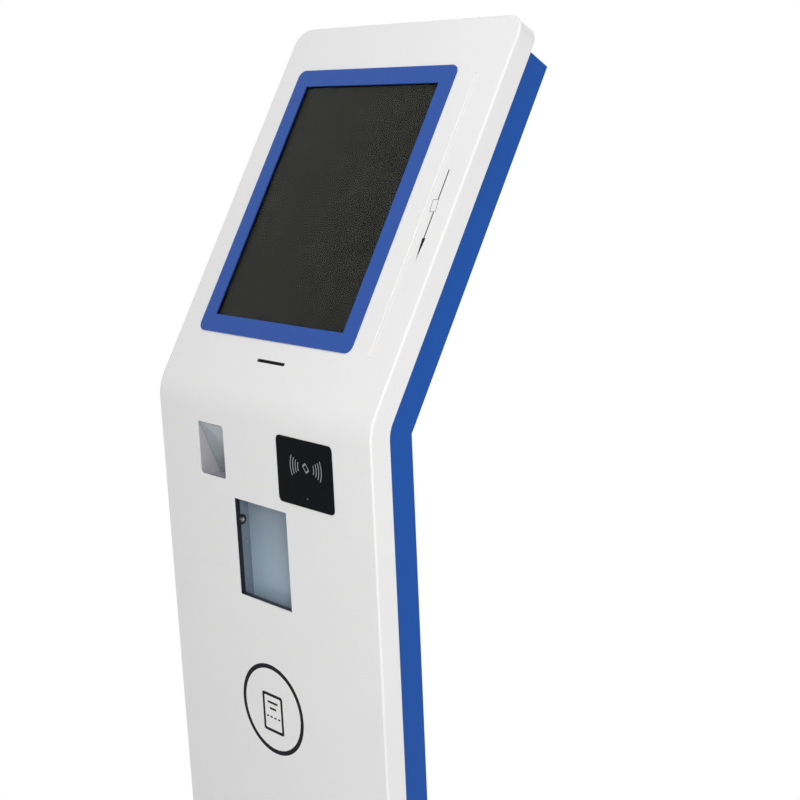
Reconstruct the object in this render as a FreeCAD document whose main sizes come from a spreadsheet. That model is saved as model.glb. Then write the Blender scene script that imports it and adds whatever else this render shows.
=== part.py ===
import FreeCAD, Part
import math
import os
import re
import Sketcher

# Floor-standing queue ticket kiosk, millimetres, +Z up, front facing -Y.
# The origin is on the floor, under the middle of the base plate.
# The white front is one folded sheet: a leaning lower panel and a head that tilts back from the knee.

doc = FreeCAD.newDocument("queue_ticket_kiosk")
sheet = doc.addObject("Spreadsheet::Sheet", "sizes")

SIZES = {
    # Folded white front shell
    "shell_width": 450,
    "head_length": 572,
    "head_tilt": 28.3,
    "lower_lean": 3.4,
    "knee_height": 920,
    "knee_front": 135,
    "shell_depth": 32,
    "shell_sheet": 2,
    "shell_lip": 22,
    "top_lip": 45,
    "knee_radius": 70,
    "lip_knee_radius": 40,
    "head_corner": 28,
    "edge_radius": 3,
    # Blue rear cabinet and its covers
    "cabinet_depth": 78,
    "cabinet_inset": 9,
    "cabinet_drop": 32,
    "cabinet_sheet": 2,
    "cover_border": 26,
    "cover_rise": 65,
    "cover_top_gap": 45,
    "cover_sheet": 1.5,
    "cover_lap": 12,
    "vent_width": 90,
    "vent_height": 5,
    "vent_pitch": 15,
    "vent_count": 9,
    "door_border": 26,
    "door_foot": 191,
    "door_top": 75,
    "door_gap": 1.5,
    "door_return": 8,
    "hinge_length": 60,
    "hinge_radius": 4,
    "hinge_pin_radius": 2,
    "hinge_leaf": 1.5,
    "leaf_width": 12,
    "leaf_gap": 1,
    "lock_radius": 9.5,
    "plug_radius": 6,
    "lock_edge": 28,
    "cam_length": 34,
    "lock_rim": 3,
    "lock_flange": 2.5,
    "lock_barrel": 10,
    "nut_rim": 4,
    "nut_height": 4,
    "plug_reach": 13,
    "plug_sink": 0.5,
    "keyway_width": 1.6,
    "keyway_length": 8,
    "keyway_depth": 8,
    "cam_rim": 2,
    "cam_sheet": 3,
    "cam_gap": 1,
    "strike_width": 8,
    "strike_height": 32,
    "strike_gap": 2,
    # Base
    "base_width": 480,
    "base_length": 380,
    "base_sheet": 8,
    "base_corner": 30,
    "pad_height": 6,
    "pad_radius": 22,
    "pad_inset": 75,
    "anchor_radius": 6,
    "anchor_inset": 35,
    "angle_leg": 30,
    "angle_sheet": 3,
    "angle_length": 36,
    "angle_height": 40,
    "bolt_radius": 4,
    "bolt_head_radius": 7.2,
    "bolt_head_height": 5.2,
    "angle_gap": 4,
    # Screen
    "screen_x": -20,
    "screen_height": 295,
    "view_width": 271,
    "view_height": 359,
    "bezel_border": 26,
    "bezel_corner": 12,
    "bezel_sheet": 1.5,
    "gasket_sheet": 1,
    "gasket_border": 7,
    "gasket_setback": 0.5,
    "glass_sheet": 3,
    "glass_border": 14.5,
    "glass_corner": 2,
    "panel_width": 296.5,
    "panel_height": 358.5,
    "panel_depth": 17,
    "tray_sheet": 1.5,
    "tray_border": 10,
    "tray_corner": 4,
    "stud_length": 8,
    "bracket_foot": 20,
    "bracket_width": 24,
    "board_width": 130,
    "board_height": 90,
    "board_sheet": 1.6,
    "board_post": 5,
    "board_post_radius": 3,
    "board_inset": 6,
    # Card slot and swipe slot
    "card_x": -2,
    "card_height": 60.7,
    "slot_width": 56,
    "slot_gap": 3,
    "card_reader_width": 74,
    "card_reader_depth": 66,
    "card_reader_height": 14,
    "card_corner": 2,
    "card_nose_sink": 0.4,
    "card_lip": 0.7,
    "card_gap": 1.2,
    "swipe_x": 176.5,
    "swipe_height": 290.5,
    "swipe_length": 401,
    "swipe_width": 10,
    "swipe_groove": 3,
    "groove_depth": 1,
    "groove_end": 3,
    "swipe_proud": 0.4,
    "swipe_flange": 2,
    "swipe_rim": 4,
    "head_case_width": 16,
    "head_case_height": 52,
    "head_case_corner": 1.5,
    "swipe_depth": 14,
    # Identity card reader
    "reader_x": 95.5,
    "reader_drop": 78.4,
    "reader_width": 111,
    "reader_height": 90.4,
    "reader_corner": 7,
    "reader_sheet": 3,
    "reader_proud": 1,
    "module_border": 4,
    "module_depth": 11,
    "module_corner": 4,
    # Scanner niche
    "niche_x": -106.8,
    "niche_drop": 41,
    "niche_width": 58.8,
    "niche_height": 75.4,
    "niche_corner": 5,
    "niche_depth": 28.6,
    "niche_sheet": 1.5,
    "niche_floor": 4.8,
    "niche_slot": 14,
    "pane_sheet": 3,
    "engine_depth": 24,
    "engine_length": 40,
    # Ticket port
    "port_x": -6.2,
    "port_drop": 139.4,
    "port_width": 113.3,
    "port_height": 140,
    "port_corner": 1,
    "collar_border": 5,
    "collar_corner": 2,
    "collar_depth": 7.5,
    "collar_tab_radius": 7.5,
    "collar_tab_sheet": 0.8,
    "housing_sheet": 1.5,
    "housing_back": 72,
    "housing_trough": 17,
    "housing_head": 6.4,
    "flap_depth": 23,
    "flap_sheet": 2,
    "flap_gap": 0.5,
    "flap_pin_radius": 1.5,
    "flap_barrel_radius": 3,
    "wall_screw_drop": 34,
    "wall_screw_depth": 11,
    "wall_screw_radius": 3.5,
    "wall_screw_head": 1.8,
    "wall_screw_length": 4,
    "chute_wall": 3,
    "chute_front": 5,
    "chute_depth": 14,
    # Ticket printer
    "paper_width": 80,
    "roll_radius": 29,
    "core_radius": 9,
    "spindle_radius": 6,
    "roll_depth": 40,
    "roll_rise": 134.4,
    "cheek_radius": 12,
    "printer_width": 110,
    "printer_top_rise": 95.4,
    "printer_bottom_rise": 13.4,
    "printer_front": 14,
    "printer_back": 62,
    "printer_sheet": 3,
    "frame_stud_radius": 4,
    "platen_radius": 7,
    "platen_shaft_radius": 3,
    "platen_depth": 29,
    "platen_rise": 61.4,
    "platen_side": 2,
    "shaft_end": 2,
    "gear_gap": 1,
    "head_block_height": 16,
    "lid_sheet": 4,
    "lid_arm": 4,
    "lid_side": 5,
    "lid_barrel_wall": 1.5,
    "lid_pin_radius": 2,
    "lid_axis_depth": 54,
    "lid_axis_rise": 39.4,
    "gear_module": 1,
    "platen_teeth": 20,
    "motor_teeth": 10,
    "gear_width": 5,
    "motor_radius": 10,
    "motor_length": 18,
    "motor_shaft_radius": 1.5,
    "pilot_radius": 3,
    "drive_wall_sheet": 2,
    "drive_wall_depth": 32,
    "drive_wall_height": 42,
    "drive_wall_foot": 16,
    "drive_wall_front": 4,
    "drive_post_radius": 2.5,
    "drive_post_inset": 3,
    "relief_gap": 0.5,
    "cutter_rise": 33.4,
    "cutter_height": 14,
    "cutter_setback": 3,
    "blade_sheet": 1,
    "blade_length": 16,
    "blade_retreat": 2,
    "blade_slot_front": 6,
    "ticket_gap": 1.5,
    "ticket_side": 1,
    # Electronics in the lower cabinet
    "gear_plate_width": 360,
    "gear_plate_height": 380,
    "gear_plate_drop": 320,
    "plate_inset": 20,
    "case_inset": 12,
    "case_corner": 5,
    "standoff_height": 6,
    "standoff_radius": 6,
    "computer_width": 197,
    "computer_height": 196,
    "computer_depth": 40,
    "case_vents": 8,
    "case_vent_pitch": 12,
    "case_vent_length": 90,
    "case_vent_width": 5,
    "case_vent_rise": 20,
    "case_vent_depth": 3,
    "button_inset": 22,
    "button_length": 6,
    "button_radius": 5,
    "button_proud": 2.5,
    "supply_width": 62,
    "supply_height": 150,
    "supply_depth": 35,
    "strip_width": 190,
    "strip_height": 44,
    "strip_depth": 30,
    "socket_pitch": 56,
    "socket_radius": 17,
    "socket_depth": 12,
    "fan_size": 80,
    "fan_depth": 25,
    "fan_x": -90,
    "fan_radius": 37,
    "tip_gap": 1,
    "fan_hub_radius": 16,
    "fan_blades": 7,
    "fan_arm": 4,
    "fan_spindle_radius": 2,
    "rotor_gap": 0.6,
    "blade_root": 3,
    "blade_pitch": 35,
    "fan_blade_sheet": 1.6,
    "fan_vents": 5,
    "foot_row": 106,
    "inlet_x": 110,
    "inlet_width": 48,
    "inlet_height": 28,
    "inlet_depth": 18,
    "inlet_rim": 5,
    "inlet_flange": 2.5,
    "inlet_corner": 3,
    "inlet_well_width": 25,
    "inlet_well_height": 17,
    "inlet_well_depth": 12,
    "pin_sheet": 2,
    "pin_height": 4,
    "pin_root": 2,
    "pin_pitch": 7,
    "pin_side_drop": 2,
    "pin_middle_rise": 2.5,
    "rocker_x": 70.5,
    "rocker_width": 13,
    "rocker_height": 19,
    "rocker_wall": 5,
    "rocker_angle": 8,
    "rocker_case_depth": 16,
    "rocker_space_depth": 10,
    "rocker_axle_depth": 4,
    "rocker_axle_radius": 1.5,
    "rocker_axle_end": 1.4,
    "rocker_back": 2,
    "rocker_edge": 5.5,
    "rocker_nose": 7.6,
    "rocker_waist": 5.8,
    "rocker_taper": 1,
    "rocker_rim": 5,
    "rocker_flange": 2,
    # Fits
    "screw_radius": 2,
    "screw_head_radius": 4,
    "screw_head_height": 2.4,
    "recess_width": 0.9,
    "recess_length": 3.6,
    "recess_depth": 1.3,
    "running_gap": 0.05,
    "hole_gap": 0.1,
    "seat_gap": 0.3,
    "tool_spare": 1,
}

for row, (alias, size) in enumerate(SIZES.items(), 1):
    sheet.set(f"A{row}", alias)
    sheet.set(f"B{row}", str(size))
    sheet.setAlias(f"B{row}", alias)
doc.recompute()

# Sizes and places that follow from the sizes above.
DERIVED = {
    "foot_drop": "knee_height - pad_height - base_sheet",
    "cover_width": "shell_width - 2 * cabinet_inset - 2 * cover_border",
    "cover_height": "head_length - cabinet_drop - cover_top_gap - cover_rise",
    "cover_centre": "cover_rise + cover_height / 2",
    "door_width": "shell_width - 2 * cabinet_inset - 2 * door_border",
    "door_height": "foot_drop - door_top - door_foot",
    "door_middle": "-door_top - door_height / 2",
    "foot_row_drop": "foot_drop - foot_row",
    "roll_drop": "port_drop - roll_rise",
    "printer_top": "port_drop - printer_top_rise",
    "printer_bottom": "port_drop - printer_bottom_rise",
    "platen_drop": "port_drop - platen_rise",
    "platen_length": "paper_width + 2 * platen_side",
    "lid_axis_drop": "port_drop - lid_axis_rise",
    "cutter_drop": "port_drop - cutter_rise",
}


def cells(formula):
    """A formula whose lower-case words with an underscore are read from the sheet or worked out from it."""
    def read(word):
        alias = word.group(0)
        return f"({cells(DERIVED[alias])})" if alias in DERIVED else f"sizes.{alias}"

    return re.sub(r"\b[a-z]+(?:_[a-z]+)+\b", read, formula)


def number(formula):
    """The present value of a formula, for a first guess of a sketch or for a plain shape."""
    result = sheet.evalExpression(cells(formula))
    return float(getattr(result, "Value", result))


def bind(item, **formulas):
    for name, formula in formulas.items():
        item.setExpression(name, cells(formula))


# Frames: FloorFrame at the origin, HeadFrame and LowerFrame at the knee line.
# In the last two, x runs right, y into the depth and z up along the front face.
KNEE = "vector(0; -knee_front; knee_height)"
FRAMES = {
    "FloorFrame": "placement(vector(0; 0; 0); rotation(vector(1; 0; 0); 0))",
    "KneeFrame": f"placement({KNEE}; rotation(vector(1; 0; 0); 0))",
    "HeadFrame": f"placement({KNEE}; rotation(vector(1; 0; 0); -head_tilt))",
    "LowerFrame": f"placement({KNEE}; rotation(vector(1; 0; 0); lower_lean))",
}
for name, formula in FRAMES.items():
    frame = doc.addObject("Part::LocalCoordinateSystem", name)
    bind(frame, Placement=formula)
doc.recompute()

TURNS = {
    "x": "rotation(vector(0; 1; 0); 90)",
    "y": "rotation(vector(1; 0; 0); -90)",
    "z": "rotation(vector(0; 0; 1); 0)",
    "-x": "rotation(vector(0; 1; 0); -90)",
    "-y": "rotation(vector(1; 0; 0); 90)",
}
SLOPE_ANGLE = "atan(niche_depth / niche_height)"
TURNS["rocker"] = "rotation(vector(1; 0; 0); rocker_angle)"
TURNS["slope"] = f"rotation(vector(1; 0; 0); {SLOPE_ANGLE})"

subparts = []


def place(item, frame, at, turn="z"):
    x, y, z = at
    bind(item, Placement=f"{frame}.Placement * placement(vector({x}; {y}; {z}); {TURNS[turn]})")


def finish(item, label):
    """Give a sub-part the name of its node and list it for writing."""
    item.Label = label
    subparts.append(item)
    return item


def box(name, frame, corner, size):
    item = doc.addObject("Part::Box", name)
    bind(item, Length=size[0], Width=size[1], Height=size[2])
    place(item, frame, corner)
    return item


def rod(name, frame, start, radius, length, along):
    """A round bar that starts at a point and runs along x, y (depth) or z of its frame."""
    item = doc.addObject("Part::Cylinder", name)
    bind(item, Radius=radius, Height=length)
    place(item, frame, start, along)
    return item


def join(name, *items):
    item = doc.addObject("Part::MultiFuse", name)
    item.Shapes = list(items)
    item.Refine = True
    return item


def cut(name, base, *tools):
    item = doc.addObject("Part::Cut", name)
    item.Base = base
    item.Tool = tools[0] if len(tools) == 1 else join(name + "_tools", *tools)
    item.Refine = True
    return item


def group(name, *items):
    """Several separate solids in one node."""
    item = doc.addObject("Part::Compound", name)
    item.Links = list(items)
    return item


def tag_of(*parts):
    """A piece of an object's name from signs and numbers."""
    return "_".join(str(part) for part in parts).replace("-", "l").replace(".", "_")


def pan_screw(name, frame, seat, out, radius, length, head_radius, head_height):
    """A pan-head screw seated at a point, its cross-recessed head outwards and its shank inwards."""
    back = out[1:] if out.startswith("-") else "-" + out
    head = rod(name + "_head", frame, seat, head_radius, head_height, out)
    shank = rod(name + "_shank", frame, seat, radius, length, back)
    x, y, z = seat
    slots = []
    crossed = (("recess_width", "recess_length"), ("recess_length", "recess_width"))
    for index, (across, up) in enumerate(crossed):
        slot = doc.addObject("Part::Box", f"{name}_recess_{index}")
        bind(slot, Length=across, Width=up, Height="recess_depth + tool_spare")
        inset = f"vector(-({across}) / 2; -({up}) / 2; {head_height} - recess_depth)"
        bind(slot, Placement=f"{frame}.Placement * placement(vector({x}; {y}; {z}); {TURNS[out]})"
                             f" * placement({inset}; rotation(vector(0; 0; 1); 0))")
        slots.append(slot)
    return cut(name, join(name + "_blank", head, shank), *slots)


def hexagon(name, frame, at, radius, height, along):
    item = doc.addObject("Part::Prism", name)
    item.Polygon = 6
    bind(item, Circumradius=radius, Height=height)
    place(item, frame, at, along)
    return item


def outline_sketch(body, name, plane, points):
    """A closed outline whose corners are held at formulas from the sketch origin."""
    sketch = body.newObject("Sketcher::SketchObject", name)
    support = [item for item in body.Origin.OriginFeatures if item.Role == plane][0]
    sketch.AttachmentSupport = [(support, "")]
    sketch.MapMode = "FlatFace"
    corners = [FreeCAD.Vector(number(across), number(up), 0) for across, up in points]
    for index, corner in enumerate(corners):
        sketch.addGeometry(Part.LineSegment(corner, corners[(index + 1) % len(corners)]), False)
    for index in range(len(corners)):
        sketch.addConstraint(Sketcher.Constraint("Coincident", index, 2, (index + 1) % len(corners), 1))
    for index, corner in enumerate(corners):
        for kind, size, formula in (("DistanceX", corner.x, points[index][0]),
                                    ("DistanceY", corner.y, points[index][1])):
            held = sketch.addConstraint(Sketcher.Constraint(kind, -1, 1, index, 1, size))
            sketch.renameConstraint(held, f"{kind.lower()}_{index}")
            sketch.setExpression(f"Constraints.{kind.lower()}_{index}", cells(formula))
    return sketch


def edges_along(shape, direction, test):
    """Names of the straight edges along a direction whose middle passes a test."""
    names = []
    for index, edge in enumerate(shape.Edges, 1):
        if edge.Curve.TypeId != "Part::GeomLine":
            continue
        tangent = edge.tangentAt(edge.FirstParameter)
        middle = edge.valueAt((edge.FirstParameter + edge.LastParameter) / 2)
        if abs(tangent.dot(direction)) > 0.999 and test(middle):
            names.append(f"Edge{index}")
    return names


def round_edges(body, name, names, radius):
    base = body.Tip
    item = body.newObject("PartDesign::Fillet", name)
    item.Base = (base, names)
    bind(item, Radius=radius)
    doc.recompute()
    return item


def plate(name, frame, centre, size, corner="0", turn="z"):
    """A flat plate in the face plane: centre (x, front, z), size (width, thickness, height)."""
    body = doc.addObject("PartDesign::Body", name)
    half = f"({size[0]}) / 2"
    tall = f"({size[2]}) / 2"
    points = [(f"-{half}", f"-{tall}"), (half, f"-{tall}"), (half, tall), (f"-{half}", tall)]
    sketch = outline_sketch(body, name + "_outline", "XZ_Plane", points)
    pad = body.newObject("PartDesign::Pad", name + "_pad")
    pad.Profile = sketch
    pad.Reversed = True
    bind(pad, Length=size[1])
    doc.recompute()
    if corner != "0":
        upright = edges_along(pad.Shape, FreeCAD.Vector(0, 1, 0), lambda middle: True)
        round_edges(body, name + "_corners", upright, corner)
    place(body, frame, centre, turn)
    return body


def prism(name, frame, centre, points, width):
    """A side profile (depth, height) made equally wide to both sides of x."""
    body = doc.addObject("PartDesign::Body", name)
    sketch = outline_sketch(body, name + "_profile", "YZ_Plane", points)
    pad = body.newObject("PartDesign::Pad", name + "_pad")
    pad.Profile = sketch
    pad.Midplane = True
    bind(pad, Length=width)
    doc.recompute()
    place(body, frame, (centre, "0", "0"))
    return body


HALF_TURN = "cos((head_tilt + lower_lean) / 2)"


def fold_points(front, back, top, foot):
    """Side profile between two depths behind the folded front, from the foot to the head's top."""
    def at_foot(depth):
        return (f"(({depth}) + ({foot}) * sin(lower_lean)) / cos(lower_lean)", f"-({foot})")

    def at_knee(depth):
        return (f"({depth}) * cos((head_tilt - lower_lean) / 2) / {HALF_TURN}",
                f"-({depth}) * sin((head_tilt - lower_lean) / 2) / {HALF_TURN}")

    def at_top(depth):
        return (f"({top}) * sin(head_tilt) + ({depth}) * cos(head_tilt)",
                f"({top}) * cos(head_tilt) - ({depth}) * sin(head_tilt)")

    return [at_foot(front), at_knee(front), at_top(front), at_top(back), at_knee(back), at_foot(back)]


# How near two places have to be to count as one, for finding edges.
NEAR = 0.01


def near(point, formulas):
    """True where a point lies on a line across the object through a profile point."""
    return abs(point.y - number(formulas[0])) < NEAR and abs(point.z - number(formulas[1])) < NEAR


def folded_block(name, width, front, back, top, foot):
    return prism(name, "KneeFrame", "0", fold_points(front, back, top, foot), width)


def tray_block(name, less):
    """The white shell's outer block, or the space inside it when less is the sheet."""
    top = f"head_length - {less}"
    foot = "foot_drop" if less == "0" else "foot_drop + shell_depth"
    points = fold_points(less, f"shell_depth - {less}", top, foot)
    body = folded_block(name, f"shell_width - 2 * {less}", less, f"shell_depth - {less}", top, foot)
    across = FreeCAD.Vector(1, 0, 0)
    tilt = math.radians(number("head_tilt"))
    into = FreeCAD.Vector(0, math.cos(tilt), -math.sin(tilt))
    round_edges(body, name + "_knee", edges_along(body.Tip.Shape, across, lambda at: near(at, points[1])),
                f"knee_radius - {less}")
    round_edges(body, name + "_lip_knee",
                edges_along(body.Tip.Shape, across, lambda at: near(at, points[4])),
                f"lip_knee_radius + {less}")
    round_edges(body, name + "_corners", edges_along(body.Tip.Shape, into, lambda at: True),
                f"head_corner - {less}")
    return body


def front_edges(shape):
    """Names of the edges around the front face, from foot to foot over the top."""
    tilt = math.radians(number("head_tilt"))
    lean = math.radians(number("lower_lean"))
    near_knee = number("knee_radius / 4")
    names = []
    for index, edge in enumerate(shape.Edges, 1):
        steps = [edge.FirstParameter + share * (edge.LastParameter - edge.FirstParameter) / 4
                 for share in range(5)]
        points = [edge.valueAt(step) for step in steps]
        head = max(abs(at.y * math.cos(tilt) - at.z * math.sin(tilt)) for at in points)
        lower = max(abs(at.y * math.cos(lean) + at.z * math.sin(lean)) for at in points)
        middle = points[2]
        spread = max(at.x for at in points) - min(at.x for at in points)
        reach = max(at.distanceToPoint(points[0]) for at in points)
        at_side = abs(abs(middle.x) - number("shell_width / 2")) < NEAR
        above = middle.z > near_knee
        below = middle.z < -near_knee
        at_top = spread > NEAR and middle.z > number("head_length / 2")
        on_head = head < NEAR and above and (at_side or at_top)
        on_lower = lower < NEAR and at_side and below
        in_knee = (at_side and spread < NEAR and reach < number("knee_radius") and not above and not below
                   and middle.y < number("shell_depth / 4"))
        if on_head or on_lower or in_knee:
            names.append(f"Edge{index}")
    return names


def make_front_shell():
    """White powder-coated sheet: folded front, side and top returns, and lips behind them."""
    outer = tray_block("shell_outer", "0")
    round_edges(outer, "shell_outer_edge", front_edges(outer.Tip.Shape), "edge_radius")
    inner = tray_block("shell_inner", "shell_sheet")
    back = folded_block("shell_back_opening", "shell_width - 2 * shell_lip",
                        "shell_depth - 2 * shell_sheet", "shell_depth + shell_sheet",
                        "head_length - top_lip", "foot_drop + shell_depth")
    through = "3 * shell_sheet"
    start = "-shell_sheet"
    screen = plate("screen_cutout", "HeadFrame", ("screen_x", start, "screen_height"),
                   ("view_width + 2 * glass_border + 2 * seat_gap", through,
                    "view_height + 2 * glass_border + 2 * seat_gap"))
    card = plate("card_cutout", "HeadFrame", ("card_x", start, "card_height"),
                 ("slot_width", through, "slot_gap"), "slot_gap / 3")
    swipe = plate("swipe_cutout", "HeadFrame", ("swipe_x", start, "swipe_height"),
                  ("swipe_width", through, "swipe_length"))
    reader = plate("reader_cutout", "LowerFrame", ("reader_x", start, "-reader_drop"),
                   ("reader_width + 2 * hole_gap", through, "reader_height + 2 * hole_gap"),
                   "reader_corner")
    niche = plate("niche_cutout", "LowerFrame",
                  ("niche_x", start, "-niche_drop - niche_height / 2"),
                  ("niche_width", through, "niche_height"), "niche_corner")
    port = plate("port_cutout", "LowerFrame", ("port_x", start, "-port_drop - port_height / 2"),
                 ("port_width", through, "port_height"), "port_corner")
    shell = cut("shell_folded", outer, inner, back)
    finish(cut("front_shell", shell, screen, card, swipe, reader, niche, port), "front_shell")


# Places on the rear face that several pieces share.
COVER_SCREWS_X = "(cover_width / 2 - cover_lap / 2)"
HINGE_X = "(-door_width / 2 - door_gap / 2)"
HINGE_DEPTH = "(cabinet_depth + hinge_radius)"
LOCK_X = "(door_width / 2 - lock_edge)"
HINGE_STEPS = ["(-door_height / 3)", "0", "(door_height / 3)"]


def cover_screw_places():
    rows = ["(-cover_height / 2 + cover_lap / 2)", "0", "(cover_height / 2 - cover_lap / 2)"]
    return [(f"{side} * {COVER_SCREWS_X}", f"cover_centre + {row}") for row in rows for side in ("-1", "1")]


def make_rear_cabinet():
    """Blue powder-coated sheet box behind the shell, open for door, cover, fan and mains, with a strike."""
    top = "head_length - cabinet_drop"
    outer = folded_block("cabinet_outer", "shell_width - 2 * cabinet_inset", "shell_depth",
                         "cabinet_depth", top, "foot_drop")
    inner = folded_block("cabinet_inner", "shell_width - 2 * cabinet_inset - 2 * cabinet_sheet",
                         "shell_depth - cabinet_sheet", "cabinet_depth - cabinet_sheet",
                         "head_length - cabinet_drop - cabinet_sheet", "foot_drop + shell_depth")
    start = "cabinet_depth - 2 * cabinet_sheet"
    through = "4 * cabinet_sheet"
    tools = [inner, doc.getObject("shell_outer")]
    tools.append(plate("cover_opening", "HeadFrame", ("0", start, "cover_centre"),
                       ("cover_width - 2 * cover_lap", through, "cover_height - 2 * cover_lap")))
    tools.append(plate("door_opening", "LowerFrame", ("0", start, "door_middle"),
                       ("door_width + 2 * door_gap", through, "door_height + 2 * door_gap")))
    tools.append(plate("inlet_opening", "LowerFrame", ("inlet_x", start, "-foot_row_drop"),
                       ("inlet_width + 2 * hole_gap", through, "inlet_height + 2 * hole_gap")))
    tools.append(plate("rocker_opening", "LowerFrame", ("rocker_x", start, "-foot_row_drop"),
                       ("rocker_width + rocker_wall + 2 * hole_gap", through,
                        "rocker_height + rocker_wall + 2 * hole_gap")))
    for index in range(int(number("fan_vents"))):
        level = f"-foot_row_drop + ({index} - (fan_vents - 1) / 2) * vent_pitch"
        tools.append(plate(f"fan_slot_{index}", "LowerFrame", ("fan_x", start, level),
                           ("fan_size - 2 * vent_height", through, "vent_height")))
    for index, (across, up) in enumerate(cover_screw_places()):
        tools.append(rod(f"cabinet_tap_{index}", "HeadFrame", (across, start, up),
                         "screw_radius + hole_gap", through, "y"))
    inside = "(cabinet_depth - cabinet_sheet)"
    reach = "(plug_reach - cam_gap)"
    strike = box("lock_strike", "LowerFrame",
                 ("door_width / 2 + door_gap + strike_gap", f"{inside} - {reach}",
                  "door_middle - strike_height / 2"),
                 ("strike_width", f"{reach} + cabinet_sheet / 2", "strike_height"))
    finish(join("cabinet_with_strike", cut("cabinet_walls", outer, *tools), strike), "rear_cabinet")


def make_head_cover():
    """Screwed blue cover over the back of the screen, with two columns of vent slots."""
    blank = plate("cover_blank", "HeadFrame", ("0", "cabinet_depth", "cover_centre"),
                  ("cover_width", "cover_sheet", "cover_height"), "cover_lap / 2")
    tools = []
    for side in ("-1", "1"):
        for index in range(int(number("vent_count"))):
            across = f"{side} * vent_width * 0.65"
            up = f"cover_centre + ({index} - (vent_count - 1) / 2) * vent_pitch"
            tools.append(plate(f"cover_slot_{tag_of(index, side)}", "HeadFrame",
                               (across, "cabinet_depth - cover_sheet", up),
                               ("vent_width", "3 * cover_sheet", "vent_height")))
    screws = []
    for index, (across, up) in enumerate(cover_screw_places()):
        tools.append(rod(f"cover_hole_{index}", "HeadFrame", (across, "cabinet_depth - cover_sheet", up),
                         "screw_radius + hole_gap", "3 * cover_sheet", "y"))
        seat = (across, "cabinet_depth + cover_sheet", up)
        screws.append(pan_screw(f"cover_screw_{index}", "HeadFrame", seat, "y", "screw_radius",
                                "cover_sheet + 2 * cabinet_sheet", "screw_head_radius", "screw_head_height"))
    finish(cut("head_cover", blank, *tools), "head_cover")
    finish(group("head_cover_screws", *screws), "head_cover_screws")


def make_service_door():
    """Blue door tray with a short return all round, pierced for the lock."""
    back = "cabinet_depth - cabinet_sheet - door_return"
    blank = plate("door_blank", "LowerFrame", ("0", back, "door_middle"),
                  ("door_width", "door_return + cabinet_sheet", "door_height"))
    hollow = plate("door_hollow", "LowerFrame", ("0", f"{back} - cabinet_sheet", "door_middle"),
                   ("door_width - 2 * cabinet_sheet", "door_return + cabinet_sheet",
                    "door_height - 2 * cabinet_sheet"))
    bore = rod("lock_bore", "LowerFrame", (LOCK_X, back, "door_middle"), "lock_radius + hole_gap",
               "2 * door_return", "y")
    finish(cut("service_door", blank, hollow, bore), "service_door")


def make_door_hinges():
    """Three welded butt hinges: fixed leaves, door leaves and pins."""
    fixed, moving, pins = [], [], []
    third = "hinge_length / 3"
    reach = "(hinge_radius + leaf_gap)"
    for index, step in enumerate(HINGE_STEPS):
        foot = f"(door_middle + {step} - hinge_length / 2)"
        bore = rod(f"hinge_bore_{index}", "LowerFrame", (HINGE_X, HINGE_DEPTH, f"{foot} - tool_spare"),
                   "hinge_pin_radius + running_gap", "hinge_length + 2 * tool_spare", "z")
        knuckles = [box(f"fixed_leaf_{index}", "LowerFrame",
                        (f"{HINGE_X} - {reach} - leaf_width", "cabinet_depth", foot),
                        ("leaf_width", "hinge_leaf", "hinge_length"))]
        for end, start in enumerate((foot, f"{foot} + 2 * {third} + seat_gap")):
            long = f"({third} - seat_gap)"
            knuckles.append(rod(f"fixed_knuckle_{index}_{end}", "LowerFrame", (HINGE_X, HINGE_DEPTH, start),
                                "hinge_radius", long, "z"))
            knuckles.append(box(f"fixed_tongue_{index}_{end}", "LowerFrame",
                                (f"{HINGE_X} - {reach} - leaf_gap", "cabinet_depth", start),
                                (f"{reach} + leaf_gap", "hinge_leaf", long)))
        fixed.append(cut(f"fixed_hinge_{index}", join(f"fixed_blank_{index}", *knuckles), bore))
        middle = f"({foot} + {third})"
        blade = box(f"door_leaf_{index}", "LowerFrame", (f"{HINGE_X} + {reach}", "cabinet_depth", foot),
                    ("leaf_width", "hinge_leaf", "hinge_length"))
        knuckle = rod(f"door_knuckle_{index}", "LowerFrame", (HINGE_X, HINGE_DEPTH, middle),
                      "hinge_radius", third, "z")
        tongue = box(f"door_tongue_{index}", "LowerFrame", (HINGE_X, "cabinet_depth", middle),
                     (f"{reach} + leaf_gap", "hinge_leaf", third))
        blank = join(f"door_hinge_blank_{index}", blade, knuckle, tongue)
        moving.append(cut(f"door_hinge_{index}", blank, bore))
        pins.append(rod(f"hinge_pin_{index}", "LowerFrame", (HINGE_X, HINGE_DEPTH, foot),
                        "hinge_pin_radius", "hinge_length", "z"))
    finish(group("hinge_fixed_leaves", *fixed), "hinge_fixed_leaves")
    finish(group("hinge_door_leaves", *moving), "hinge_door_leaves")
    finish(group("hinge_pins", *pins), "hinge_pins")


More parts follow.
